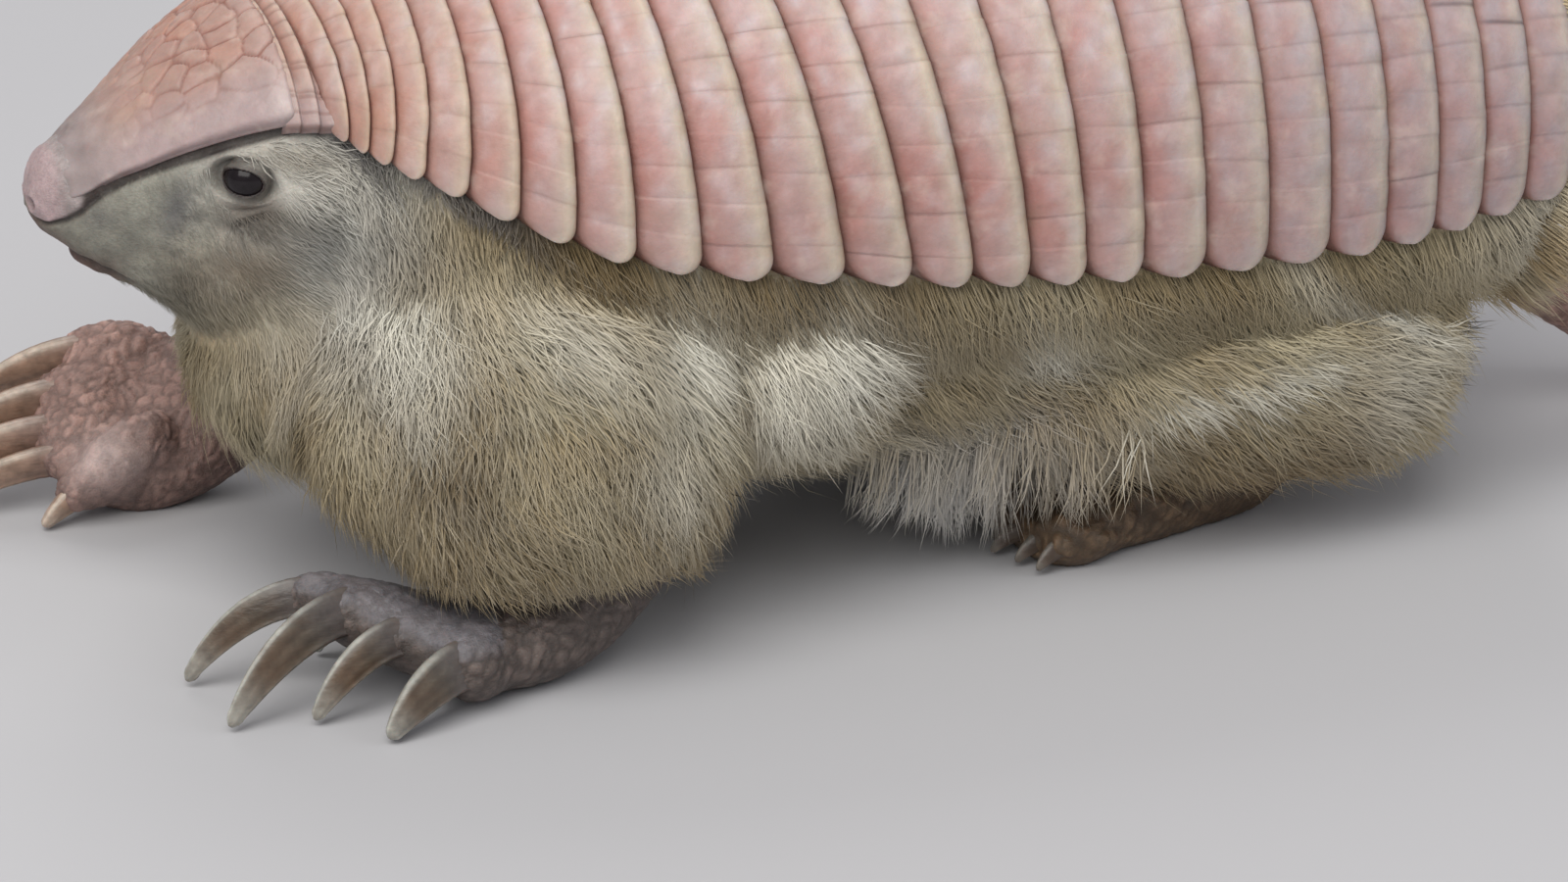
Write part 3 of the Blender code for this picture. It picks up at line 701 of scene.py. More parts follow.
def build_bands(looks):
    """The bands of the shell: rows of scutes with a raised rear edge and rounded lower ends."""
    profile = np.array(BAND_OUTER + BAND_INNER)
    v, h = profile[:, 0][:, None], profile[:, 1][:, None]
    outside = (np.arange(len(profile)) < len(BAND_OUTER))[:, None]
    shows = outside * steps(-0.06, 0.08, v)
    arc_t = np.linspace(-1, 1, 401)
    for i in range(BANDS):
        dice = np.random.default_rng(100 + i)
        arc = np.concatenate(([0], np.cumsum(np.linalg.norm(np.diff(shell_at(i + 0.6, arc_t), axis=0), axis=1))))
        total = arc[-1]
        pace = np.linalg.norm(shell_at(i + 1, 0.4) - shell_at(i, 0.4))
        count = int(round(total / SCUTE))
        joints = np.linspace(0, total, count + 1)
        joints[1:-1] += dice.uniform(-0.35, 0.35, count - 1)
        columns = [joints[k] + SCUTE_SHARES * (joints[k + 1] - joints[k]) for k in range(count)]
        columns = np.concatenate(columns + [[total]])
        tip = min(BAND_TIP, pace * 0.52)
        ends = tip * (1 - np.cos(np.linspace(0, math.pi / 2, 10)))
        columns = np.concatenate((ends, columns[(columns > tip) & (columns < total - tip)], total - ends[::-1]))
        scute = np.clip(np.searchsorted(joints, columns, side="right") - 1, 0, count - 1)
        near = np.abs(columns[:, None] - joints[None, 1:-1])
        joint = near.argmin(1)
        gap = near.min(1)
        high = 1 - np.abs(columns / total - 0.5) * 2
        rear = float(steps(16.5, 20, i))
        # each joint wanders a little along the band; the deep ones are on the rear bands' upper half
        wander = dice.uniform(-0.35, 0.35, count - 1)[joint]
        worn = dice.uniform(0.0, 1.0, count - 1)[joint]
        clear = (0.15 + 0.85 * steps(0.2, 0.95, worn)) * (0.4 + 0.6 * steps(0.15, 0.5, high))
        crack = 0.1 * clear + 0.24 * rear * steps(0.28, 0.6, high) * (0.4 + 0.6 * worn)
        rim = np.minimum(columns, total - columns)[None]
        round_off = np.clip(1 - (1 - np.minimum(rim / tip, 1)) ** 2.1, 0.0, 1) ** (1 / 2.1)
        place = BAND_MIDDLE + (v - BAND_MIDDLE) * (0.2 + 0.8 * round_off)
        tilt = dice.uniform(-0.05, 0.05, (count, 2))
        across_scute = (columns - (joints[scute] + joints[np.minimum(scute + 1, count)]) / 2) / SCUTE
        middle = steps(0.05, 0.4, v) * steps(1.02, 0.85, v)
        height = h + shows * (
            (tilt[scute, 0] + tilt[scute, 1] * across_scute * 2)[None]
            + (0.06 * np.cos(math.pi * across_scute) * (0.3 + 0.7 * clear))[None] * middle
            - (crack * bump(gap, 0.14 + 0.05 * rear))[None] * steps(0.02, 0.3, v) * steps(1.1, 0.8, v)
        )
        height = height - 0.3 * (1 - round_off) * outside + 0.15 * (1 - round_off) * ~outside
        t = np.interp(columns[None] + wander[None] * (v - 0.5) * bump(gap, 0.8)[None], arc, arc_t)
        flat = shell_at(i + place, t, height).reshape(-1, 3)
        rough = (wave(flat, 3.1, 31) * 0.06 + wave(flat, 1.2, 32) * 0.025).reshape(height.shape) * shows
        flat = shell_at(i + place, t, height + rough).reshape(-1, 3)
        rows, cols = height.shape
        seam = np.stack((np.arange(cols - 1), np.arange(cols - 1) + 1), -1)
        closing = np.concatenate((seam + (rows - 1) * cols, seam[:, ::-1]), -1)
        lids = []
        for col in (0, cols - 1):
            ring = np.arange(rows) * cols + col
            lids += [(ring[k], ring[k + 1], ring[rows - k - 2], ring[rows - k - 1]) for k in range(rows // 2 - 1)]
        # colours: dark under the neighbour's edge, which is painted shade with some dirt, redder in front, cream on
        # the raised rear edge
        side = 1 - high[None]
        v_all = np.broadcast_to(v, height.shape)
        patchy, fine = (patches(flat, *kind).reshape(height.shape) for kind in ((7.0, 33), (2.2, 34)))
        red = 0.45 * steps(0.45, 0.9, patchy) + 0.25 * steps(0.4, 0.85, side) * steps(1.0, 0.8, side) * patchy
        colours = mix(ramp(BAND_COLOURS, v_all), ramp(BAND_REDS, v_all), np.clip(red, 0, 1))
        pale = 0.4 * bump(side - 0.55, 0.22) * steps(0.12, 0.35, v_all) * fine + 0.25 * steps(0.6, 0.95, fine)
        colours = layered(
            colours,
            (pale * steps(0.05, 0.3, v_all), 206, 190, 186),
            (steps(7, 2, i) * 0.5 * steps(0.0, 0.2, v_all) * (0.5 + 0.5 * patchy), 186, 142, 114),
            (steps(13, 20, i) * (0.3 + 0.3 * fine) * steps(0.05, 0.2, v_all), 162, 148, 148),
        )
        # the bands darken towards the rim
        fade = (0.08 + 0.1 * steps(6, 12, i)) * steps(0.35, 0.85, side) + 0.05 * steps(9, 5, i)
        colours = layered(
            colours * (1.04 - fade)[..., None],
            # painted highlight: the upper sides of the middle bands are paler where light falls on the top of the
            # arch
            (0.4 * bump(i - 13.0, 4.0) * steps(0.6, 0.3, side) * steps(0.1, 0.3, v_all), 204, 184, 186),
            # the rounded lower ends are paler: partly their cream edge, partly a painted highlight
            (0.75 * (1 - round_off) * steps(0.1, 0.3, v_all), 206, 190, 178),
        )
        line = bump(gap, 0.09 + 0.06 * rear)[None] * steps(0.04, 0.25, v_all)
        shade = np.clip(line * (0.42 * clear + rear * steps(0.28, 0.6, high) * (0.3 + 0.6 * worn))[None], 0, 1)
        colours = mix(colours, mix(srgb(126, 92, 80), srgb(66, 44, 48), rear), shade * outside)
        solid_piece(
            f"band_{i + 1:02d}", flat, [grid_faces(rows, cols), closing, np.array(lids)],
            colours.reshape(-1, 3) * SHELL_TONE, looks["shell"], "shell", f"shell_band_{i + 1:02d}",
        )


def nose_colour(points):
    """The naked skin of the nose, which the front of the shield runs into."""
    shade = mix(srgb(138, 122, 116), srgb(156, 140, 134), 0.5 + 0.5 * wave(points, 2.2, 8))
    return mix(shade, srgb(168, 142, 138), steps(-55.2, -56.3, points[:, 0]))


def shield_seeds(dice):
    """Middles of the scales of the head shield, in rows that come closer towards the nose."""
    seeds = []
    x = SHIELD_END - 0.5
    while x > SHIELD_START:
        size = np.interp(x, (SHIELD_START, -52, -47, SHIELD_END), (0.9, 1.3, 2.1, 2.5))
        span = math.radians(float(curve(SHIELD_REACH, np.clip(x, SHIELD_START, SHIELD_END))[0])) * 1.05
        half_width = float(curve(HEAD, x)[0]) + 2
        number = max(3, int(2 * span * half_width / size))
        shift = dice.random() * 0.5
        for k in range(number + 1):
            a = -span + 2 * span * (k + shift) / number
            ahead = x + dice.uniform(-0.34, 0.34) * size
            seeds.append(head_at(ahead, a + dice.uniform(-0.32, 0.32) * size / half_width))
        x -= size * 0.9
    return seeds


def build_head_shield(looks):
    """The plate on the head, of irregular scales that shrink and fade towards the nose."""
    dice = np.random.default_rng(7)
    xs = np.linspace(SHIELD_START - 0.1, SHIELD_END + 0.15, 92)
    reach = np.radians(curve(SHIELD_REACH, np.clip(xs, SHIELD_START, SHIELD_END))[:, 0])
    turns = np.linspace(-1, 1, 171)
    angle = turns[None] * reach[:, None]
    flat = head_at(xs[:, None], angle).reshape(-1, 3)
    seeds = shield_seeds(dice)
    beyond, which = (a.reshape(angle.shape) for a in cell_pattern(flat + sway(flat, 3.4, 95) * 0.3, seeds))
    high = steps(0.98, 0.5, np.abs(turns))[None]
    fade = steps(-53.5, -46.5, xs)[:, None] * (0.12 + 0.88 * high**2)
    lifts = dice.uniform(-0.1, 0.12, len(seeds))[which]
    height = fade * (0.2 * steps(0.0, 0.42, beyond) - 0.16 + lifts * steps(0.1, 0.4, beyond))
    back_edge = bump((xs - (SHIELD_END - 0.85))[:, None], 0.8)
    behind = steps(SHIELD_END - 0.5, SHIELD_END + 0.15, xs)[:, None]
    height = height + 0.3 * back_edge * steps(1.1, 0.8, np.abs(turns))[None] - 0.06 - 0.7 * behind**2
    low_edge = steps(0.9, 1.0, np.abs(turns))[None]
    sunk = steps(-53.6, -56.1, xs)[:, None]
    height = height - 0.55 * low_edge**2 - 0.2 * sunk + 0.04 * wave(flat, 1.7, 12).reshape(angle.shape)
    top = head_at(xs[:, None], angle, height)
    under = head_at(xs[:, None], angle * 0.985, np.minimum(-ARMOUR + 0.05, height - 0.3))
    rows, cols = angle.shape
    # the underside is coarse: only its border follows the upper side point for point
    points = np.concatenate((top.reshape(-1, 3), under.reshape(-1, 3)))
    loop = np.concatenate(
        (np.arange(cols), np.arange(1, rows) * cols + cols - 1, (rows - 1) * cols + np.arange(cols - 2, -1, -1),
         np.arange(rows - 2, 0, -1) * cols)
    )
    after = np.roll(loop, -1)
    wall = np.stack((after, loop, loop + rows * cols, after + rows * cols), -1)
    inner, coarse = (np.unique(np.append(np.arange(0, n, pace), n - 1)) for n, pace in ((rows, 7), (cols, 6)))
    grid = rows * cols + inner[:, None] * cols + coarse[None]
    sheet = np.stack((grid[:-1, :-1], grid[1:, :-1], grid[1:, 1:], grid[:-1, 1:]), -1).reshape(-1, 4)
    faces = [grid_faces(rows, cols), wall, sheet]
    mesh = fill("head_shield_plate", to_frame(points), faces)
    drop_loose(mesh)
    hue = dice.random(len(seeds))[which]
    rear = steps(-54, -46, xs)[:, None]
    colours = layered(
        mix(srgb(166, 134, 122), srgb(174, 148, 134), hue),
        ((0.3 + 0.5 * steps(0.4, 0.9, hue)) * rear * high, 180, 128, 106),
        (steps(0.35, 0.85, np.abs(turns))[None] * 0.75, 170, 150, 146),
    )
    colours = mix(colours, nose_colour(flat).reshape(*angle.shape, 3), steps(-51.0, -54.6, xs)[:, None])
    # painted highlight along the shield's rear rim and its lower rear corner
    rim_highlight = back_edge * (0.25 + 0.75 * bump(np.abs(turns) - 0.88, 0.12))[None]
    dark = steps(0.3, 0.03, beyond) * fade
    colours = layered(
        colours,
        (0.6 * rim_highlight, 214, 196, 186),
        (np.clip(dark * (0.22 + 0.6 * high * rear), 0, 1), 134, 84, 70),
        # painted shade: the lower edge, where it turns under, and the strip that tucks under the nape bands
        (low_edge * 0.55, 92, 74, 72),
        (behind * 0.6, 120, 84, 76),
    ).reshape(-1, 3)
    keep = np.unique(np.concatenate([f.ravel() for f in faces]))
    # the underside takes the upper side's colours darkened, as painted shade
    tint(mesh, np.concatenate((colours, colours * 0.45))[keep] * SHELL_TONE)
    piece("head_shield_plate", mesh, looks["shell"], "shell", "head_shield")


def build_collar(looks):
    """Narrow bands on the nape, between the head shield and the first whole band."""
    dice = np.random.default_rng(23)
    bands, rows, cols = 3, 43, 181
    s = np.linspace(0, 1, rows)[:, None]
    t = np.linspace(-1, 1, cols)[None]
    front = head_at(SHIELD_END - 0.9, t * (math.radians(SHIELD_REACH[-1][1]) * 1.03), -0.55)
    base = front * (1 - s[..., None]) + shell_at(0.62, t * 0.96, -0.62) * s[..., None]
    out = unit(stack(0.0, base[:, :, 1], base[:, :, 2] - 30.0))
    f = (s * bands) % 1.0
    height = 0.34 * steps(0.0, 0.7, f) - 0.36 * steps(0.86, 1.0, f) + 0.25 * np.sin(math.pi * s)
    low = steps(0.93, 1.0, np.abs(t))
    joints = np.sort(dice.uniform(-1, 1, 26))
    gap = np.abs(t[..., None] - joints).min(-1)
    height = height - 0.06 * bump(gap, 0.008) - 0.6 * low**2
    top, under = base + out * height[..., None], base - out * 0.9
    points = np.concatenate((top.reshape(-1, 3), under[::6].reshape(-1, 3)))
    faces = [grid_faces(rows, cols), grid_faces(rows // 6 + 1, cols, False, rows * cols)[:, ::-1]]
    mesh = fill("nape_bands", to_frame(points), faces)
    colours = layered(
        ramp(NAPE_COLOURS, f * np.ones_like(t)),
        (steps(0.5, 0.9, np.abs(t)) * 0.6, 180, 160, 156),
        (bump(gap, 0.01) * 0.5, 128, 90, 78),
        # painted shade along the lower edge, where it turns under
        (low * 0.7, 84, 64, 60),
    )
    # painted shade: the underside is a dark brown
    underside_shade = np.tile(srgb(90, 70, 62), (len(points) - rows * cols, 1))
    tint(mesh, np.concatenate((colours.reshape(-1, 3), underside_shade)) * SHELL_TONE)
    piece("nape_bands", mesh, looks["shell"], "shell")


def build_rump(looks):
    """The flat rump plate: arcs of scutes round a middle low down, and a notch for the tail."""
    dice = np.random.default_rng(17)
    angles = np.linspace(0, 2 * math.pi, 361)[:-1]
    radii = np.concatenate((np.linspace(0.0, 0.9, 46), np.linspace(0.915, 1.0, 12)))
    across, up, tall = rump_edge(angles)
    edge = stack(across * RUMP_HALF_WIDTH, up * tall, 0.0)[:, :2]
    # where a ray from the middle meets the notch
    reach = np.linalg.norm(edge, axis=1)
    ray = edge / reach[:, None]
    along = ray @ NOTCH_AT
    inside = NOTCH_RADIUS**2 - (NOTCH_AT @ NOTCH_AT - along**2)
    hit = np.where((inside > 0) & (along > 0), along - np.sqrt(np.maximum(inside, 0)), 1e9)
    flat = radii[:, None, None] * (ray * np.minimum(reach, hit)[:, None])[None]
    share = np.linalg.norm(flat / np.array((RUMP_HALF_WIDTH, RUMP_UP)), axis=-1)
    dome = RUMP_DOME * (1 - share**2 * 0.95)
    seeds = []
    for row, radius in enumerate((0.0, 3.4, 6.6, 9.8, 13.0, 16.2, 19.4)):
        number = max(1, int(2 * math.pi * radius / 2.5))
        for k in range(number):
            a = 2 * math.pi * (k + 0.5 * (row % 2)) / number + dice.uniform(-0.03, 0.03)
            spot = RUMP_MIDDLE + np.array((math.sin(a), math.cos(a))) * (radius + dice.uniform(-0.15, 0.15))
            seeds.append((*spot, 0.0))
    found = cell_pattern(stack(*np.moveaxis(flat, -1, 0), 0.0).reshape(-1, 3), seeds)
    beyond, which = (a.reshape(share.shape) for a in found)
    height = 0.2 * steps(0.0, 0.55, beyond) + dice.uniform(-0.1, 0.1, len(seeds))[which]
    out = RUMP_START + RUMP_THICK * 0.55 + dome * 0.95 + height - 0.9 * steps(0.9, 1.0, radii)[:, None] ** 2
    coarse = flat[[0, 20, 40, -1]]
    top, under = rump_at(*np.moveaxis(flat, -1, 0), out), rump_at(*np.moveaxis(coarse, -1, 0), RUMP_START - 0.1)
    rows, cols = share.shape
    size = rows * cols
    wall = np.arange(cols) + (rows - 1) * cols
    after = np.roll(wall, -1)
    drop = size - (rows - 4) * cols
    faces = [grid_faces(rows, cols, True), grid_faces(4, cols, True, size)[:, ::-1],
             np.stack((after, wall, wall + drop, after + drop), -1)]
    mesh = fill("rump_plate", to_frame(np.concatenate((top.reshape(-1, 3), under.reshape(-1, 3)))), faces)
    merged(mesh, 0.00002)
    _, across, up = (millimetres(mesh) - RUMP_CENTRE).T
    beyond, which = cell_pattern(stack(across, up, 0.0), seeds)
    hue = dice.random(len(seeds))[which]
    tint(mesh, layered(
        mix(srgb(206, 160, 150), srgb(214, 182, 168), hue),
        (steps(0.6, 1.0, hue) * 0.6, 186, 164, 160),
        (steps(0.36, 0.03, beyond) * 0.6, 150, 104, 94),
    ))
    piece("rump_plate", mesh, looks["shell"], "shell", "rump_shield")


# ---------------------------------------------------------------- claws and eyes
CLAW_TAPER = (
    (-0.12, 0.5), (0.0, 0.88), (0.14, 1.0), (0.4, 0.97), (0.65, 0.82), (0.82, 0.62), (0.93, 0.42), (0.985, 0.24),
    (1.0, 0.08),
)  # share of a claw's length from its root, share of its thickness


def claw_fall(share, drop):
    """How far a claw that drops by drop to its tip has fallen at a share of its length."""
    return drop * (1.6 * share**2 - 0.6 * share)


def claw_rows(root, turn, side, length, height, width, drop):
    """Path of a claw, as tube_at takes it, from its root outwards."""
    c, s = cos_sin(turn)
    rows = []
    for share, tall in CLAW_TAPER:
        out, fall = share * length, claw_fall(max(share, 0.0), drop)
        place = (root[0] - out * c, side * (root[1] + out * s), root[2] - fall)
        rows.append((out, *place, height * tall, width * tall))
    return rows


def claw_mesh(rows, upright, seed, rings=34, around=36, hollow=0.5, light=0.0):
    """Points, faces and colours of one horn claw: keeled above, hollow below, with pale edges."""
    dice = np.random.default_rng(seed)
    rows = np.array(rows)
    rows = rows - np.array((rows[0, 0], 0, 0, 0, 0, 0))
    stations = rows[-1, 0] * (1 - (1 - np.linspace(0, 1, rings)) ** 1.4)
    at = curve(rows, stations)
    tangent = unit(np.gradient(at[:, :3], axis=0))
    across = unit(np.cross(tangent, upright))
    high = np.cross(across, tangent)
    angle = np.linspace(0, 2 * math.pi, around, endpoint=False)
    s, c = squared(angle, 2.1)
    share = (stations / rows[-1, 0])[:, None]
    keel = 1 - 0.42 * steps(0.0, 1.0, c)[None]
    flank = 0.16 * bump(c - 0.12, 0.38)[None] * steps(0.12, 0.35, share) * steps(1.0, 0.8, share)
    under = steps(-0.35, -0.95, c)[None] * hollow * steps(0.05, 0.3, share) * steps(1.02, 0.9, share)
    lip = 0.24 * bump(c + 0.62, 0.2)[None]
    wide = s[None] * (keel + lip - flank) * at[:, 4:5] * 1.12
    tall = (c[None] + under) * at[:, 3:4]
    points = at[:, None, :3] + across[:, None] * wide[..., None] + high[:, None] * tall[..., None]
    points[..., 2] = np.maximum(points[..., 2], 0.02)
    outward = unit(points - at[:, None, :3])
    ridge = np.cos(angle * 9 + 0.6)[None] * 0.025 + np.cos(angle * 15 + dice.random() * 6)[None] * 0.016
    growth = 0.014 * np.sin(share * rows[-1, 0] * 7 + 2 * np.sin(angle)[None]) * (1 - share)
    points = points + outward * (ridge * steps(0.0, 0.1, share) * (1 - 0.6 * share) + growth)[..., None]
    stripe = 0.5 + 0.5 * np.cos(angle * 11 + dice.random() * 6)[None]
    face = layered(
        mix(srgb(56, 53, 48), srgb(82, 78, 69), stripe * np.ones_like(wide)),
        ((0.2 + 0.45 * dice.random()) * steps(0.25, 0.85, share), 104, 78, 56),
        (light, 178, 146, 126),
    )
    cream = mix(srgb(168, 168, 160), srgb(212, 192, 174), light)
    for pale in (
        steps(0.84, 0.97, c)[None] * 0.85,
        bump(c + 0.58, 0.13)[None] * 0.75 * steps(0.1, 0.3, share),
        steps(0.74, 1.0, share) * 0.65,
    ):
        face = mix(face, cream, pale)
    # painted shade in the hollow underside
    face = layered(face, (steps(-0.7, -0.84, c)[None] * 0.92, 44, 28, 20))
    face = mix(face, mix(srgb(88, 80, 78), srgb(146, 118, 108), light), steps(0.58, 0.3, share) * 0.88)
    colours = np.concatenate((face.reshape(-1, 3), [face[0].mean(0), face[-1].mean(0)]))
    return *closed(points), colours


def hand_pose(side):
    """The upward direction of a hand, and each claw's root, turn, length, height, width and drop."""
    turn, roll = FOREFOOT_TURN[side], math.radians(FOREFOOT_ROLL[side])
    c, s = cos_sin(turn)
    upright = np.array((-math.sin(roll) * s, -side * math.sin(roll) * c, math.cos(roll)))
    at = FOREFOOT_AT[side]
    claws = []
    for across, root_x, rise, swing, length, height, width, tip in FORECLAWS[side]:
        out = across * math.cos(roll)
        root_z = rise + across * math.sin(roll)
        root = (at[0] + root_x * c + out * s, at[1] - root_x * s + out * c, root_z)
        claws.append((root, turn + swing, length, height, width, root_z - tip))
    return upright, claws


def build_claws(looks):
    """Five claws on each hand, and the five small ones of each hind foot as one piece."""
    for side, word in WORD.items():
        upright, claws = hand_pose(side)
        for digit, (root, swing, *sizes) in enumerate(claws, 1):
            rows = claw_rows(root, swing, side, *sizes)
            made = claw_mesh(rows, upright, digit + 5 * side + 5, light=0.35 + 0.35 * side)
            solid_piece(f"claw_{word}_{digit}", *made, looks["claw"], "claw", f"foreclaw_{word}_{digit}")
        parts, colours = [], []
        at = HINDFOOT_AT[side]
        for digit, (across, swing) in enumerate(HINDCLAW_FAN, 1):
            root = (at[0] - 6.4 + abs(across) * 0.5, at[1] + 2.2 + across, 1.75)
            rows = claw_rows(root, swing, side, 3.0, 0.8, 0.62, 1.2)
            points, faces, tints = claw_mesh(rows, UPRIGHT, 50 + digit, 18, 16, 0.3)
            parts.append((points, faces))
            colours.append(layered(tints, (0.6, 66, 48, 36)))
        solid_piece(f"hind_claws_{word}", *gathered(parts), np.concatenate(colours), looks["claw"], "claw")


def build_eyes(looks):
    """Two dark balls behind the lids."""
    for side, word in WORD.items():
        points, faces = closed(ellipsoid(mirrored(EYE, side), np.full(3, EYE_RADIUS), 34, 48))
        black = np.tile(srgb(26, 21, 24), (len(points), 1))
        solid_piece(f"eyeball_{word}", points, faces, black, looks["eye"], "eye", f"eye_{word}")


# ---------------------------------------------------------------- the body's shapes
# how deep the skin lies inside the solids, under the coat
COAT_DEPTH = {"trunk": 2.2, "throat": 2.6, "foreleg": 2.4, "hindleg": 2.2, "head": 0.45}
FILLERS = (
    ("foreleg_SIDE", (-35.5, 13.5, 17.0), (7.2, 6.2, 7.2)),
    ("trunk", (-27.0, 13.0, 22.5), (11.0, 7.2, 6.5)),
    ("trunk", (20.0, 13.5, 14.5), (18.0, 7.2, 7.0)),
    ("trunk", (-10.8, 16.9, 19.4), (7.2, 5.2, 5.8)),
)  # what rounds off the corners between the limbs and the trunk: part, centre, half sizes
TOE = ((-3, 0.5), (-1.2, 1.0), (0.6, 1.08), (1.5, 0.95), (2.1, 0.5))  # place along a toe, share of its thickness
THUMB = (
    (0, -44.6, 15.6, 6.2, 1.3, 1.3), (2, -46.4, 15.1, 5.6, 1.9, 1.8), (4, -48.3, 14.7, 4.7, 2.1, 1.9),
    (6, -50.0, 14.4, 3.8, 1.7, 1.5), (7.4, -51.2, 14.2, 3.1, 1.1, 1.0),
)  # the pad beside the right hand's first digit
PATCH = 0.003  # how wide a tuft's patch is on the unwrap


def knuckle_path(claw, digit, side):
    """Path of the fleshy digit that a claw grows out of."""
    root, swing, length, height, width, drop = claw
    c, s = cos_sin(swing)
    back = 4.2 if digit > 1 else 2.2
    reach = 1.0 if side < 0 else 1.5
    path = []
    for d, tall in (
        (-back, 0.6), (-back * 0.5, 0.98), (-0.8, 1.2), (0.4, 1.24), (1.5 * reach, 1.12), (2.4 * reach, 0.94),
        (3.0 * reach, 0.7),
    ):
        fall = claw_fall(max(d, 0.0) / length, drop)
        spot = (root[0] - d * c, side * (root[1] + d * s), root[2] - fall + min(d, 0.0) * 0.1)
        path.append((d + back, *spot, (height * 0.95 + 0.4) * tall, (width + 0.6) * tall))
    return path


def body_lofts():
    """The shapes that the skin is the union of: name, rings."""
    lofts = [("trunk", trunk_at(np.linspace(0.2, BANDS, 90), COAT_DEPTH["trunk"], 70, 60))]
    lofts.append(("throat", ellipsoid(THROAT, THROAT_SIZE - COAT_DEPTH["throat"], 40, 60)))
    xs = np.concatenate((np.linspace(-57.4, -55, 9), np.linspace(-54.5, -39.0, 40)))[:, None]
    around = np.linspace(-math.pi, math.pi, 96, endpoint=False)[None]
    line = np.interp(xs, *np.array(SHIELD_LINE).T)
    below = steps(line - 1.0, line + 3.0, np.degrees(np.abs(around)))
    bare = 0.9 * steps(-56.4, -51.0, xs)
    under_fur = COAT_DEPTH["head"] * steps(-55.5, -50, xs) + 1.1 * steps(-46.0, -40.0, xs)
    inset = bare * (1 - below) + under_fur * below
    lofts.append(("head", head_at(xs, around, 0.08 * steps(-55.4, -56.6, xs) - inset - 0.03)))
    lofts.append(("tail", tube_at(TAIL, 60, 32, UPRIGHT)))
    for side, word in WORD.items():
        fore = placed(FORELEG[side], (0, 0), side)
        lofts.append((f"foreleg_{word}", tube_at(fore, 40, 44, FORWARD, -COAT_DEPTH["foreleg"])))
        hind = placed(HINDLEG, (HINDFOOT_AT[side][0], 0), side)
        lofts.append((f"hindleg_{word}", tube_at(hind, 36, 60, FORWARD, -COAT_DEPTH["hindleg"])))
        foot = placed(HINDFOOT, HINDFOOT_AT[side], side)
        lofts.append((f"hindfoot_{word}", tube_at(foot, 40, 28, UPRIGHT, 0.0, 2.3)))
        upright, claws = hand_pose(side)
        hand = placed(FOREFOOT[side], FOREFOOT_AT[side], side, FOREFOOT_TURN[side])
        lofts.append((f"forefoot_{word}", tube_at(hand, 44, 36, upright, -0.5 if side < 0 else -0.25, 2.3)))
        for digit, claw in enumerate(claws, 1):
            lofts.append((f"forefoot_{word}", tube_at(knuckle_path(claw, digit, side), 16, 22, upright)))
        at = HINDFOOT_AT[side]
        for across, swing in HINDCLAW_FAN:
            c, s = cos_sin(swing)
            root = (at[0] - 5.6 + abs(across) * 0.5, at[1] + 2.2 + across)
            toe = [(d + 3, root[0] - d * c, side * (root[1] + d * s), 1.75, 1.3 * k, 1.02 * k) for d, k in TOE]
            lofts.append((f"hindfoot_{word}", tube_at(toe, 10, 14, UPRIGHT)))
        if side > 0:
            lofts.append((f"forefoot_{word}", tube_at(THUMB, 16, 22, UPRIGHT)))
        lofts.append(("head", ellipsoid(mirrored(EAR, side), EAR_SIZE * (1.0, 0.9, 1.0), 14, 16)))
        for name, spot, size in FILLERS if side < 0 else FILLERS[:3]:
            lofts.append((name.replace("SIDE", word), ellipsoid(mirrored(spot, side), size, 20, 30)))
    return lofts


def smoothed(points, edges, rounds, mask=None):
    """Points moved half way towards the mean of their neighbours in each round."""
    count = np.bincount(edges.ravel(), minlength=len(points))[:, None]
    for _ in range(rounds):
        total = np.zeros_like(points)
        np.add.at(total, edges[:, 0], points[edges[:, 1]])
        np.add.at(total, edges[:, 1], points[edges[:, 0]])
        step = (total / np.maximum(count, 1) - points) * 0.5
        points = points + (step if mask is None else step * mask[:, None])
    return points


class Places:
    """Says which part of the body each point of the skin belongs to, and where on that part's own grid it is."""

    def __init__(self, lofts):
        self.names = sorted({name for name, _ in lofts})
        columns, first = [], 0
        for number, (name, rings) in enumerate(lofts):
            rows, cols = rings.shape[:2]
            index = np.arange(rows * cols).reshape(rows, cols) + first
            columns.append((
                rings.reshape(-1, 3),
                np.full(rows * cols, self.names.index(name)),
                np.full(rows * cols, number),
                np.repeat(np.linspace(0, 1, rows), cols),
                np.tile(np.linspace(0, 1, cols, endpoint=False), rows),
                *(np.stack((np.roll(index, 1, k), np.roll(index, -1, k)), -1).reshape(-1, 2) for k in range(2)),
            ))
            first += rows * cols
        joined = (np.concatenate(a) for a in zip(*columns))
        self.points, self.part, self.loft, self.along, self.around, self.beyond, self.beside = joined
        self.tree = tree_of(self.points)

    def nearest(self, points):
        return nearest_in(self.tree, points)

    def named(self, hits):
        return np.array(self.names)[self.part[hits]]

    def parts(self, points):
        return self.named(self.nearest(points))

    def unwrapped(self, points, hits):
        """Where each point lies on an unwrap of the skin, in which every loft is a strip of its own."""
        offset = points - self.points[hits]
        place = []
        for value, neighbours in ((self.along, self.beyond), (self.around, self.beside)):
            before, after = neighbours[hits].T
            way = self.points[after] - self.points[before]
            share = (offset * way).sum(1) / np.maximum((way * way).sum(1), 1e-6)
            pitch = (value[after] - value[before] + 0.5) % 1.0 - 0.5
            place.append(np.clip(value[hits] + np.clip(share, -0.3, 0.3) * pitch, 0.0, 1.0))
        along, around = place
        across = np.zeros(len(points))
        start = 0.0
        for number in np.unique(self.loft[hits]):
            here = self.loft[hits] == number
            across[here] = start + around[here] * here.mean()
            start += here.mean()
        return np.stack((across, along), -1) * (1 - PATCH)


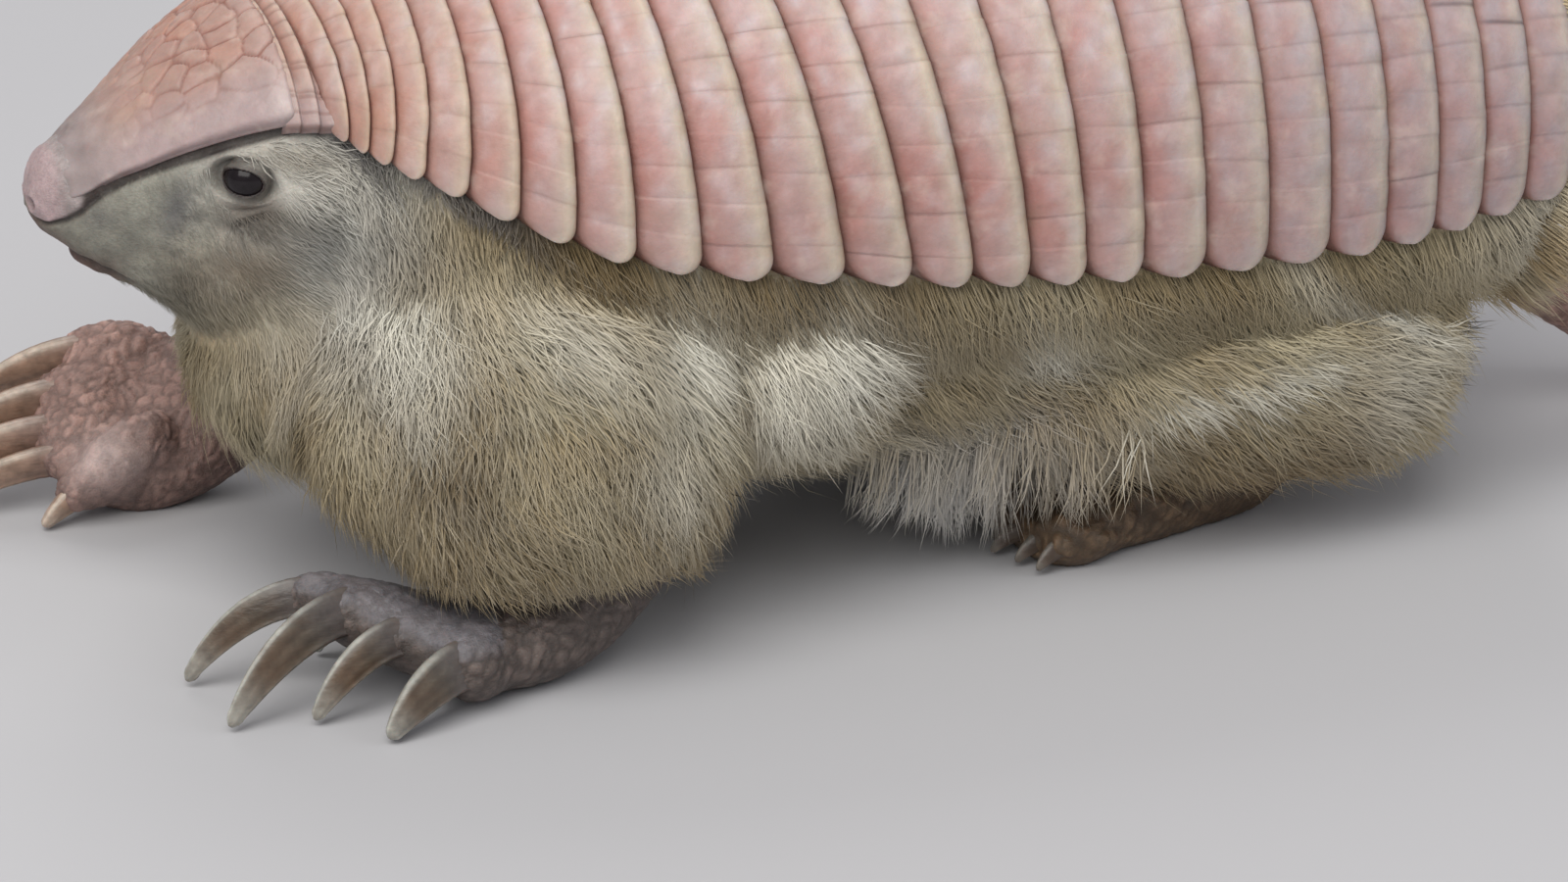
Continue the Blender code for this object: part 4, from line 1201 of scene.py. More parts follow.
# ---------------------------------------------------------------- skin
VOXEL = 0.56  # pitch of the remesh that joins the body's parts
NOSTRIL = (-57.2, 0.9, 29.6)
PAD, PAD_SIZE = (-49.2, 14.2, 4.8), (2.8, 2.2, 2.0)  # the smooth pale pad on the right hand
LEFT_HAND_TONE = srgb(94, 83, 78)
HAND_TONES = (
    ("forefoot_right", srgb(152, 122, 113)), ("hindfoot_left", srgb(100, 80, 60)),
    ("hindfoot_right", srgb(100, 80, 60)), ("tail", srgb(170, 134, 122)),
)  # the naked skin's colours, apart from the left hand's
FACE_MARKS_AND_SHADE = (
    (-49.3, 30.2, 0.75, 2.0, 0.65, 92, 92, 96),
    (-47.7, 28.6, 0.8, 2.2, 0.55, 184, 184, 170),
    (-45.8, 26.6, 3.2, 2.6, 0.7, 138, 118, 94),
    (-40.3, 32.4, 2.0, 2.4, 0.6, 214, 210, 198),
    (-41.4, 28.6, 1.6, 2.6, 0.55, 140, 142, 142),
    (-45.0, 22.8, 3.0, 2.0, 0.65, 190, 180, 156),
    (-51.0, 25.8, 0.9, 1.3, 0.45, 170, 168, 152),
    (-48.4, 25.2, 0.8, 1.8, 0.45, 104, 98, 86),
    (-53.6, 29.3, 0.9, 1.0, 0.5, 104, 102, 100),
    (-51.8, 27.8, 1.3, 1.6, 0.5, 92, 90, 82),
    (-44.9, 30.9, 1.9, 0.7, 0.7, 112, 100, 88),
    (-45.3, 29.7, 2.0, 0.8, 0.8, 78, 68, 60),
    (-42.6, 34.4, 2.2, 0.8, 0.5, 168, 156, 138),
    (-45.2, 30.6, 2.0, 0.8, 0.65, 88, 78, 68),
    (-53.2, 25.4, 1.6, 1.4, 0.5, 84, 66, 54),
)  # markings of the face, with the dark ones under the eye painted shade of its folds: x, z, half length, half height, share, screen colour
LOCKS_AND_PAINTED_LIGHT = (
    (30.0, 18.0, 6.0, 1.4, -0.75, 0.9),
    (20.0, 15.0, 6.5, 0.7, 0.08, 0.9),
    (14.0, 14.5, 2.0, 0.6, 0.0, 0.9),
    (30.0, 13.0, 4.0, 4.0, 0.0, 0.6),
    (4.2, 20.2, 2.5, 2.4, 0.0, 1.0),
    (-37.0, 33.6, 2.4, 1.6, 0.0, 0.35),
    (-36.0, 24.2, 2.2, 2.8, 0.3, 0.85),
    (-28.2, 24.4, 3.8, 2.6, -0.3, 0.65),
    (-20.0, 23.2, 3.2, 3.4, 0.0, 1.0),
    (-10.0, 21.6, 4.2, 3.4, 0.0, 1.0),
    (-11.5, 16.0, 2.2, 3.0, 0.0, 0.5),
    (-16.2, 19.0, 0.7, 4.0, 0.0, -0.3),
    (-14.2, 20.2, 1.9, 3.2, 0.0, 0.85),
    (-35.2, 17.2, 3.2, 3.2, 0.0, -0.7),
    (-31.0, 10.5, 3.4, 3.0, 0.0, -0.4),
    (-22.3, 16.4, 2.6, 3.6, 0.0, 0.5),
    (-33.0, 21.0, 1.8, 2.4, 0.2, -0.4),
    (-25.5, 16.8, 1.6, 3.0, 0.0, -0.25),
    (6.2, 10.2, 0.9, 3.0, 0.0, -0.9),
    (0.5, 22.4, 3.0, 1.3, 0.0, -0.2),
    (45.0, 19.0, 4.0, 6.0, 0.0, 0.8),
    (41.0, 23.0, 5.0, 3.0, 0.0, 0.35),
)  # locks of the near side, the pale ones partly cream coat and partly painted light, the dark ones painted shade in gaps and under the arm: x, z, half length, half height, slope, how pale (or how dark, below nothing)


def frame_at_eye(side):
    """Centre of the lids on the skin, with directions forwards, up and out."""
    out = unit(np.array((-0.5, side * 1.0, 0.05)))
    ahead = unit(np.array((-1.0, -side * 0.5, 0.0)))
    up = unit(np.cross(out, ahead) * side)
    return mirrored(EYE, side) + out * EYE_RADIUS, ahead, up, out


def eye_opening(a, b):
    """1 on the edge of the lids' opening, less inside it: a runs forwards and b upwards from the ball's middle."""
    tilt = b - 0.12 * (a - 0.2)
    return np.sqrt((np.abs(a - 0.15) / 1.32) ** 2.2 + (np.abs(tilt) / np.where(tilt > 0, 0.88, 0.8)) ** 2.0)


def head_relief(points):
    """Depth of lids, folds, nostrils and mouth at each point, how much painted shade darkens each, how red each is,
    and the eyes' shift.
    """
    depth, dark, rim = np.zeros(len(points)), np.zeros(len(points)), np.zeros(len(points))
    shift = np.zeros_like(points)
    for side in WORD:
        centre, ahead, up, out = frame_at_eye(side)
        local = points - centre
        a, b, o = local @ ahead, local @ up, local @ out
        close = (np.abs(o) < 4) & (np.abs(a) < 5) & (np.abs(b) < 5)
        r = eye_opening(a, b)
        # inside the lids' opening the skin goes back behind the ball; the lids lie on the ball
        ball = np.sqrt(np.maximum(EYE_RADIUS**2 - a**2 - b**2, 0.0)) - EYE_RADIUS
        lid = ball + 0.16 - 0.06 * steps(1.1, 1.0, r)
        toward = (lid - o) * steps(2.0, 1.25, r)
        hole = -2.4 * steps(1.0, 0.93, r)
        shift += out * (np.where(close, toward + hole, 0))[:, None]
        crease = bump(b - 1.42 + 0.16 * a * a, 0.16) * bump(a, 1.5)
        pouch = bump(b + 1.5 - 0.12 * a * a, 0.24) * bump(a, 1.3)
        fold_line = b + 2.75 + 0.32 * a
        fold = bump(fold_line, 0.2) * steps(-2.1, -1.3, a) * steps(1.3, 0.4, a)
        second = bump(b + 1.95 - 0.1 * a * a + 0.1 * a, 0.14) * bump(a, 1.2)
        depth += close * (0.04 * bump(r - 1.16, 0.12) - 0.12 * crease + 0.07 * pouch - 0.24 * fold - 0.1 * second)
        depth += close * 0.04 * bump(fold_line - 0.45, 0.3) * bump(a + 0.3, 1.5)
        # painted shade in the lids' edge, the folds and creases, and round the eye
        folds = steps(1.16, 1.04, r) + 0.75 * fold + 0.35 * crease + 0.4 * second
        dark += close * (folds + 0.62 * bump(r - 1.15, 0.34) + 0.36 * bump(r - 1.7, 0.6))
    x, y, z = points.T
    # nostrils in the lower front of the nose, with painted shade in them
    for side in WORD:
        d = np.linalg.norm((points - mirrored(NOSTRIL, side)) * (1, 1, 1.25), axis=1)
        depth += -0.7 * bump(d, 0.36) + 0.12 * bump(d - 0.7, 0.2)
        dark += 0.95 * bump(d, 0.4)
    # mouth: a slit under the nose that runs back along each side, with painted shade in it
    line = 26.25 - 0.42 * (x + 55.5) - 0.03 * (x + 55.5) ** 2
    lips = bump(z - line, 0.22) * steps(-56.6, -56.0, x) * steps(-50.2, -51.6, x)
    depth += -0.4 * lips + 0.14 * bump(z - line + 0.55, 0.28) * steps(-56.2, -55.6, x) * steps(-50.4, -51.8, x)
    dark += 0.95 * lips
    # the reddish rim of the lips, and of the chin's underside, whose red-brown is partly painted shade
    rim += 0.3 * bump(z - line + 0.2, 0.95) * steps(-57.0, -56.2, x) * steps(-50.6, -52.6, x)
    under = curve(HEAD, np.clip(x, HEAD[0][0], HEAD_END))[:, 3]
    rim += steps(2.3, 0.7, z - under) * steps(29.5, 28.5, z) * steps(-50.0, -52.4, x) * np.exp(-((y / 1.7) ** 2))
    # the line under the shield runs on between the nose and the muzzle, as a groove with painted shade in it
    below = line_distance(points)
    wide = np.interp(x, (-57, -52, -46, -41), (0.22, 0.3, 0.5, 0.7))
    seam = bump(below - wide * 0.4, wide) * steps(-57.3, -56.6, x)
    depth += -0.3 * seam * steps(-40.0, -42.0, x)
    dark += 0.9 * np.clip(seam * 1.25, 0, 1)
    # fine wrinkles cross the nose and the muzzle behind it
    wrinkle = np.sin((x + 0.25 * z) * 5.2) * 0.03 * steps(-57.2, -55.5, x) * steps(-50.5, -53, x)
    depth += wrinkle + 0.04 * wave(points, 1.6, 5) * steps(-56, -54, x)
    return depth, dark, rim, shift, below


def hem_height(x, labels):
    """How low the tips of the coat reach on each part of the body."""
    hem = np.where(labels == "foreleg_left", 7.6, 0.6)
    hem = np.where(labels == "foreleg_right", 9.6, hem)
    hind = np.interp(x, (-2, 2, 5, 20, 28, 33, 38), (3.2, 3.8, 6.0, 5.4, 5.4, 7.6, 13.0))
    return np.where(np.char.find(labels, "hindleg") >= 0, hind, hem)


def coat_colour(points):
    """Colour of the coat at each point of the body, with painted shade under the shell's rim and painted light and
    shade on its locks.
    """
    x, y, z = points.T
    n1, n2 = wave(points, 15.0, 41), wave(points, 5.0, 42)
    gap = rim_height(x) - z
    # painted shade under the shell's rim
    under_rim_shade = steps(3.0, 0.4, gap) * steps(-33, -28, x) * (0.8 - 0.45 * steps(-8, 4, x) - 0.2 * steps(28, 38, x))
    cheek = steps(-31.5, -40.0, x) * steps(14.5, 26.5, z + 0.35 * (x + 38))
    colours = layered(
        np.tile(srgb(176, 160, 127), (len(points), 1)),
        (np.clip(0.45 * n1 + 0.4 * n2, 0, 1), 202, 192, 162),
        (np.clip(-0.45 * n1 - 0.35 * n2, 0, 1), 148, 126, 88),
        (steps(8, 34, x) * 0.5, 184, 166, 126),
        (steps(18, 8, z) * steps(-10, -20, x) * 0.7, 134, 114, 82),
        (steps(16, 9, z) * steps(8, 16, x) * steps(34, 26, x) * 0.7, 128, 106, 74),
        (bump(x - 1.5, 6.5) * steps(17, 11, z) * np.where(y < 0, 1.0, 0.45) * 0.9, 236, 234, 230),
        (under_rim_shade, 116, 96, 62),
        (cheek, 194, 190, 180),
        (cheek * steps(0.2, 0.9, n2) * 0.7, 206, 204, 194),
    )
    muzzle = mix(srgb(98, 96, 86), srgb(142, 140, 128), 0.5 + 0.5 * n2)
    colours = mix(colours, muzzle, steps(-45.5, -50.0, x) * 0.9)
    # the face's markings, and painted shade under the eye
    for at_x, at_z, long, tall, share, *colour in FACE_MARKS_AND_SHADE:
        spot = np.exp(-(((x - at_x - 0.2 * (z - at_z)) / long) ** 2) - ((z - at_z) / tall) ** 2)
        colours = layered(colours, (spot * share * steps(-36, -38, x), *colour))
    colours = layered(
        colours,
        # painted shade: a dark line under the shell's edge on the neck
        (steps(1.0, 0.4, gap) * steps(-26.5, -31.0, x) * steps(-41.6, -40.6, x) * 0.85, 76, 72, 74),
        (steps(13, 7, z) * steps(14, 8, np.abs(y)) * 0.5, 196, 184, 154),
    )
    # painted light and shade laid over the coat's own locks
    for at_x, at_z, long, tall, slant, pale in LOCKS_AND_PAINTED_LIGHT:
        a, b = x - at_x, z - at_z - slant * (x - at_x)
        spot = np.exp(-((a / long) ** 2) - (b / tall) ** 2) * np.where(y < 0, 1.0, 0.4)
        colour = (238, 234, 218) if pale > 0 else (100, 80, 52)
        colours = layered(colours, (np.clip(spot * abs(pale), 0, 1), *colour))
    return colours


def body_mesh(lofts, places):
    """The skin's bare shape in millimetres: the lofts as one closed mesh, finer where there is detail."""
    mesh = fill("lofts", *gathered([closed(rings) for _, rings in lofts]))
    face_outwards(mesh)
    obj = link("lofts", mesh)
    remesh = obj.modifiers.new("remesh", "REMESH")
    remesh.mode = "VOXEL"
    remesh.voxel_size = VOXEL
    remesh.adaptivity = 0.0
    mesh = bpy.data.meshes.new_from_object(obj.evaluated_get(bpy.context.evaluated_depsgraph_get()))
    bpy.data.objects.remove(obj)
    mesh.name = "skin"
    points, edges = read(mesh), edges_of(mesh)
    x, y, z = points.T
    # the corners between the limbs and the trunk are rounded off
    aside = steps(12, 16, np.abs(y))
    collar = bump(x + 39.0, 3.5) * steps(36, 32, z)
    shoulder = bump(x + 27.0, 14.0) * bump(z - 25.0, 3.5) * aside
    thigh = bump(x - 22.0, 20.0) * bump(z - 20.0, 3.0) * aside
    points = smoothed(points, edges, 3)
    armpit = bump(x + 33.5, 9.0) * bump(z - 17.0, 11.0) * steps(4, 8, np.abs(y)) * steps(9.0, 12.0, z)
    points = smoothed(points, edges, 40, np.clip(collar + shoulder + thigh + armpit, 0, 1))
    points = smoothed(points, edges, 60, np.clip(armpit * 1.3, 0, 1))
    write(mesh, points)
    named = places.parts(points)
    detailed = ("head", "forefoot_left", "forefoot_right", "hindfoot_left", "hindfoot_right", "tail")
    x, below = points[:, 0], line_distance(points)
    refine(mesh, np.isin(named, detailed) & ~((named == "head") & ((x > -42.5) | ((below < -1.5) & (x > -54.5)))))
    for reach, front in ((4.2, -53.5), (2.5, -99.0)):
        points = read(mesh)
        finest = points[:, 0] < front
        for side in WORD:
            finest |= np.linalg.norm(points - mirrored(EYE, side), axis=1) < reach
        refine(mesh, finest)
    points, edges = read(mesh), edges_of(mesh)
    named = places.parts(points)
    points = smoothed(points, edges, 2, np.isin(named, detailed).astype(float))
    write(mesh, points)
    return mesh, points, edges, named


def scales(points, named, scaly):
    """How far each scaly point is from the edge of its scale, and a number from 0 to 1 for each scale."""
    beyond, which = np.zeros(len(points)), np.zeros(len(points))
    moved = points + sway(points, 3.0, 90) * 0.35
    for n in np.flatnonzero(scaly > 0.05):
        size = 1.0 if named[n].startswith("forefoot") else 0.85
        distances, spots = noise.voronoi(Vector(moved[n] / size))
        beyond[n] = (distances[1] - distances[0]) * size
        which[n] = (math.sin(spots[0][0] * 12.9898 + spots[0][1] * 78.233 + spots[0][2] * 37.7) * 43758.5) % 1.0
    return beyond, which


def pad_share(points):
    """1 in the middle of the pad on the right hand, falling to nothing round it."""
    return np.exp(-(((points - PAD) / PAD_SIZE) ** 2).sum(1))


def build_skin(looks, lofts, places):
    """The skin, with its relief and markings."""
    mesh, points, edges, named = body_mesh(lofts, places)
    normals = read(mesh, "normals")
    depth, dark, rim, shift, below = head_relief(points)
    x, y, z = points.T
    on_head = x < -40.5
    depth, dark, rim = depth * on_head, dark * on_head, rim * on_head
    # scales on hands, feet and tail, and on the legs as far up as the coat leaves them bare
    hem = np.minimum(hem_height(x, named), np.where(has(named, "hind"), 6.0, 99.0)) + 1.2
    feet = np.char.replace(np.char.replace(named, "foreleg", "forefoot"), "hindleg", "hindfoot")
    named = np.where(has(named, "leg") & (z < hem), feet, named)
    scaly = (has(named, "foot") | (named == "tail")).astype(float)
    scaly = smoothed(scaly[:, None] * np.ones(3), edges, 3)[:, 0]
    beyond, which = scales(points, named, scaly)
    upward = steps(-0.5, 0.1, normals[:, 2])
    pad = pad_share(points)
    back_of_hand = steps(0.2, 0.75, normals[:, 2]) * (named == "forefoot_left")
    even = 1 - 0.8 * np.clip(pad + 0.7 * (back_of_hand * (x < -34.0)), 0, 1)
    relief = scaly * (0.2 * steps(0.0, 0.45, beyond) - 0.1) * (0.35 + 0.65 * upward) * even
    lumps = scaly * np.isin(named, ("hindfoot_left", "hindfoot_right")) * upward
    relief = relief + lumps * (0.3 * wave(points, 2.4, 23) + 0.12 * wave(points, 1.1, 24))
    points = points + shift + normals * (depth + relief)[:, None]
    points[:, 2] = np.maximum(points[:, 2], FLOOR_CLEAR)
    write(mesh, to_frame(points))
    mesh.shade_smooth()
    # markings, and painted shade in the face's creases and under the shield's edge
    x, y, z = points.T
    colours = coat_colour(points) * 0.96
    nose = steps(0.1, -0.1, below) * steps(-53.9, -54.6, x)
    colours = mix(colours, nose_colour(points) * (1.06, 1.1, 1.1) * SHELL_TONE, nose)
    colours = layered(
        colours,
        (np.clip(rim * 0.95, 0, 1) * (1 - nose), 88, 58, 48),
        # painted shade in the face's creases and openings and round the eyes
        (np.clip(dark, 0, 1), 50, 42, 40),
        # the groove under the shield's edge: partly its dark skin, partly painted shade under the edge
        (on_head * steps(0.2, -0.3, below) * steps(-54.8, -54.2, x), 60, 48, 44),
    )
    tones = LEFT_HAND_TONE * np.ones((len(points), 1))
    for word, tone in HAND_TONES:
        tones[named == word] = tone
    hand = tones * (1.0 + (which - 0.5) * np.where(named == "tail", 0.14, 0.36))[:, None]
    hand = mix(hand, tones * 1.5, steps(0.78, 0.98, which) * 0.45)
    # painted sheen: the upward-facing backs of the left hand's knuckles are tinted blue-grey
    knuckles = back_of_hand * (x < -33.0)
    hand = layered(hand, (knuckles * 0.55, 122, 122, 130))
    # painted shade in the hollows between the hind feet's lumps, and painted light on their tops
    warts = wave(points, 2.4, 23)
    hand = mix(hand, tones * 0.45, lumps * steps(0.0, -0.6, warts) * 0.8)
    hand = mix(hand, tones * 1.5, lumps * steps(0.2, 0.8, warts) * 0.5)
    even = 1 - 0.8 * np.clip(pad + 0.7 * knuckles, 0, 1)
    hand = mix(hand, tones * 0.42, steps(0.28, 0.03, beyond) * 0.7 * even)
    shade = np.interp(z, (1, 4, 9, 12), (0.66, 0.86, 1.1, 1.2)) * np.interp(x, (-45.5, -40.5), (1.0, 0.75))
    hand = hand * np.where(named == "forefoot_right", shade, 1.0)[:, None]
    hand = layered(hand, (pad_share(points) * 0.8, 206, 186, 182))
    tint(mesh, mix(colours, hand, scaly))
    nodes = ["trunk", "neck", "head", "tail"]
    for word in WORD.values():
        nodes += [f"{n}_{word}" for n in ("ear", "foreleg", "hindleg", "forefoot", "hindfoot")]
    piece("skin", mesh, looks["skin"], "short_fur", *nodes)
    return mesh


# ---------------------------------------------------------------- coat
ROOT_TO_TIP = (0.9, 0.99, 1.05)  # how bright a tuft is at its root, at two fifths of its length and at its tip
SOFTNESS = 0.6  # how much a tuft is shaded like the coat that it lies in
COAT_LIMIT = 195000  # the most triangles in one piece of the coat
TUFT_RINGS, STRAND_RINGS = (0, 0.5, 1.0), (0, 0.35, 0.7, 1.0)  # shares of the length, the tip last
TAPER = {TUFT_RINGS: (0.9, 0.85), STRAND_RINGS: (0.8, 1.0, 0.62)}  # shares of the width at those before the tip


def sample(mesh, density, seed):
    """Random places on the skin: points, normals. Density is tufts a square millimetre at each vertex."""
    dice = np.random.default_rng(seed)
    mesh.calc_loop_triangles()
    corners = np.zeros(len(mesh.loop_triangles) * 3, np.int32)
    mesh.loop_triangles.foreach_get("vertices", corners)
    corners = corners.reshape(-1, 3)
    points, normals = millimetres(mesh), read(mesh, "normals")
    a, b, c = (points[corners[:, k]] for k in range(3))
    area = np.linalg.norm(np.cross(b - a, c - a), axis=1) / 2
    want = area * density[corners].mean(1)
    number = int(want.sum())
    picks = np.searchsorted(np.cumsum(want), np.sort(dice.random(number)) * want.sum())
    picks = np.clip(picks, 0, len(corners) - 1)
    r1, r2 = np.sqrt(dice.random(number)), dice.random(number)
    shares = np.stack((1 - r1, r1 * (1 - r2), r1 * r2), -1)[..., None]
    return (points[corners[picks]] * shares).sum(1), unit((normals[corners[picks]] * shares).sum(1))


def tufts(roots, normals, lie, length, rise, width, colours, pale, uv, dice, rings):
    """Points, faces, colours, unwrap places and normals of tapered three-sided tufts that lie along the body."""
    number = len(roots)
    s = np.array(rings)[None, :, None]
    swirl = np.cross(normals, lie)
    bend = dice.normal(0, 0.13, (number, 1, 1))
    curl = dice.normal(0, 0.05, (number, 1, 1)) * np.sin(s * 5.0 + dice.random((number, 1, 1)) * 6.28)
    line = (
        (roots - normals * 0.25)[:, None]
        + lie[:, None] * length[:, None, None] * s * (1 - 0.12 * s)
        + normals[:, None] * rise[:, None, None] * (1 - (1 - s) ** 2)
        + swirl[:, None] * length[:, None, None] * (bend * s * s + curl * s)
    )
    line[..., 2] = np.maximum(line[..., 2], 0.08)
    tangent = unit(np.gradient(line, axis=1))
    across = unit(np.cross(tangent, normals[:, None]))
    up = np.cross(across, tangent)
    body = line[:, :-1]
    half = width[:, None, None] * np.array(TAPER[rings])[None, :, None]
    corner = [body + across[:, :-1] * half, body - across[:, :-1] * half, body + up[:, :-1] * half * 0.5]
    ring = np.stack(corner, 2)
    count = ring.shape[1]
    points = np.concatenate((ring.reshape(number, -1, 3), line[:, -1:]), 1)
    each = count * 3 + 1
    base = (np.arange(number) * each)[:, None, None]
    quads = grid_faces(count, 3, True)
    last = (count - 1) * 3
    j = np.arange(3)
    tris = np.concatenate((np.stack((last + j, last + (j + 1) % 3, np.full(3, each - 1)), -1), [(2, 1, 0)]))
    shade = np.concatenate((np.repeat(np.array(rings[:-1]), 3), [1.0]))
    tints = colours[:, None] * np.interp(shade, (0, 0.4, 1), ROOT_TO_TIP)[None, :, None]
    tints = mix(tints, pale[:, None], steps(0.5, 1.0, shade) * 0.4)
    offset = np.stack((np.concatenate((np.tile((0.0, 1.0, 0.5), count), [0.5])), shade), -1) * PATCH
    maps = uv[:, None] + offset[None]
    faces = [(base + quads[None]).reshape(-1, 4), (base + tris[None]).reshape(-1, 3)]
    return points.reshape(-1, 3), faces, tints.reshape(-1, 3), maps.reshape(-1, 2), np.repeat(normals, each, axis=0)


def coat_piece(name, looks, made, slot):
    """One piece of the coat, shaded partly like the skin below it, with the unwrap that the bake asks for."""
    points, faces, colours, maps, outs = made
    mesh = fill(name, to_frame(points), faces)
    tint(mesh, colours)
    mesh.normals_split_custom_set_from_vertices(unit(outs * SOFTNESS + read(mesh, "normals") * (1 - SOFTNESS)))
    corners = np.zeros(len(mesh.loops), np.int32)
    mesh.loops.foreach_get("vertex_index", corners)
    layer = mesh.uv_layers.new(name="OFBake")
    layer.data.foreach_set("uv", maps[corners].astype(np.float32).ravel())
    piece(name, mesh, looks["fur"], slot)


def grow(name, looks, places, dice, hits, order, grown, rings=TUFT_RINGS, slot="fur"):
    """Pieces of the coat, as many as the limit asks for.

    grown has the tufts' roots, normals, directions, lengths, rises, widths, colours and tips' colours.
    """
    triangles = 6 * (len(rings) - 2) + 4
    for n, chosen in enumerate(np.array_split(order, math.ceil(len(order) * triangles / COAT_LIMIT))):
        uv = places.unwrapped(grown[0][chosen], hits[chosen])
        coat_piece(name.format(n + 1), looks, tufts(*(a[chosen] for a in grown), uv, dice, rings), slot)


def along_skin(directions, normals, share=1.0):
    """Directions without a share of what points out of the skin."""
    return directions - normals * (directions * normals).sum(1, keepdims=True) * share


def locks_of(roots, size, dice):
    """Locks of about size tufts: the root in each one's middle, and which lock each root is in."""
    centres = dice.choice(len(roots), len(roots) // size, replace=False)
    return centres, nearest_in(tree_of(roots[centres]), roots)


def lie_of(points, normals, named, dice):
    """The direction in which the hair lies at each root, along the skin."""
    x, y, z = points.T
    side = np.where(y < 0, -1.0, 1.0)
    lie = stack(0.8, side * 0.1, -0.8 - 0.6 * steps(-30, -36, x))
    lie = mix(lie, stack(0.9, side * 0.1, -0.55), steps(-36, -43, x) * steps(18, 24, z))
    lie = mix(lie, stack(0.45, side * 0.25, -1.0), steps(-26, -34, x) * steps(25, 17, z))
    lie = mix(lie, stack(0.3, side * 0.12, -1.0), has(named, "leg") * steps(27, 19, z))
    sweep = steps(4, 18, x)
    hind = stack(-0.2 + 1.2 * sweep, side * 0.12, -1.0 + 0.45 * sweep)
    lie = np.where(has(named, "hindleg")[:, None], hind, lie)
    lie = mix(lie, stack(1.0, side * 0.2, -0.3), steps(-0.4, -0.9, normals[:, 2]))
    swing = sway(points, 11.0, 60) * 0.3 + sway(points, 4.0, 70) * 0.14
    lie = unit(lie) + swing + dice.normal(0, 0.13, points.shape)
    return unit(along_skin(lie, normals))


def build_coat(looks, mesh, places):
    """The long coat of the trunk, breast and limbs, in locks of fine tufts."""
    points, normals = millimetres(mesh), read(mesh, "normals")
    named = places.parts(points)
    x, y, z = points.T
    below = rim_height(x) - z
    covered = (below < -0.9) & (x > -41.0) & ~(has(named, "leg") & (np.abs(y) > 21.5) & (below > -1.6))
    hem = np.minimum(hem_height(x, named), np.where(has(named, "foreleg"), 99.0, 6.4))
    naked = has(named, "foot") | (named == "tail") | (z < hem + 0.7)
    face = (named == "head") & (x < -40) & (z > 20)
    density = np.where(normals[:, 2] < -0.6, 8.0, 24.0)
    density[covered | naked | face] = 0.0
    dice = np.random.default_rng(3)
    roots, outs = sample(mesh, density, 11)
    hits = places.nearest(roots)
    labels = places.named(hits)
    lie = lie_of(roots, outs, labels, dice)
    number = len(roots)
    x, y, z = roots.T
    limb = has(labels, "leg")
    close = steps(4.5, 0.5, rim_height(x) - z) * (x > -41)
    length = np.where(limb, 5.0, 5.4) * dice.uniform(0.7, 1.25, number)
    face = np.maximum(steps(-33, -42, x) * steps(20, 26, z), steps(-36, -43, x) * steps(13, 21, z))
    edge = steps(-38.5, -44.0, x) * steps(14.5, 19.5, z)
    length *= (1 - 0.55 * face) * (1 - 0.3 * edge)
    rise = dice.uniform(0.45, 1.2, number) * 2.2 * (1 - 0.55 * face) * (1 - 0.5 * edge)
    rise *= 1 - 0.45 * close
    length *= 1 - 0.75 * (close * steps(-26.0, -31.0, x))
    lie = unit(lie + close[:, None] * np.array((0.0, 0.0, -1.0)))
    width = dice.uniform(0.04, 0.068, number)
    stray = dice.random(number) < 0.03
    rise = np.where(stray & (close < 0.2), rise * 1.4, rise)
    # most tufts bend towards the middle of the lock, and of the wisp in it, that they stand in
    centres, lock = locks_of(roots, 110, dice)
    small, wisp = locks_of(roots, 22, dice)
    pull = dice.uniform(0.1, 0.75, (number, 1))
    middle, inner = along_skin(roots[centres[lock]] - roots, outs), roots[small[wisp]] - roots
    lie = lie + 0.6 * pull * (lie[centres[lock]] - lie)
    lie = unit(lie + (middle * 0.5 + inner * 0.6) * pull / length[:, None])
    rise *= dice.uniform(0.75, 1.2, len(centres))[lock]
    # tips end at the hem
    hem = hem_height(x, labels) + dice.normal(0, 0.5, number)
    room = (z - hem) / np.maximum(-lie[:, 2], 0.12)
    behind = (np.interp(z, (4, 9, 14, 18), (34.5, 37.0, 40.5, 43.0)) - x) / np.maximum(lie[:, 0], 0.12)
    room = np.where((x > 27.0) & limb, np.maximum(room, 1.9), room)
    length = np.minimum(length, np.minimum(room, np.maximum(behind, 1.5)))
    tone = dice.uniform(0.9, 1.08, len(centres))[lock] * dice.uniform(0.95, 1.05, len(small))[wisp]
    tone = tone * dice.uniform(0.96, 1.04, number)
    base = coat_colour(roots)
    order = np.argsort(places.loft[hits] * 4 + (y > 0) * 2 + (x > 5), kind="stable")
    order = order[length[order] > 0.9]
    grown = (roots, outs, lie, length, rise, width, base * tone[:, None], layered(base, (0.32, 236, 228, 206)))
    grow("coat_{:02d}", looks, places, dice, hits, order, grown)


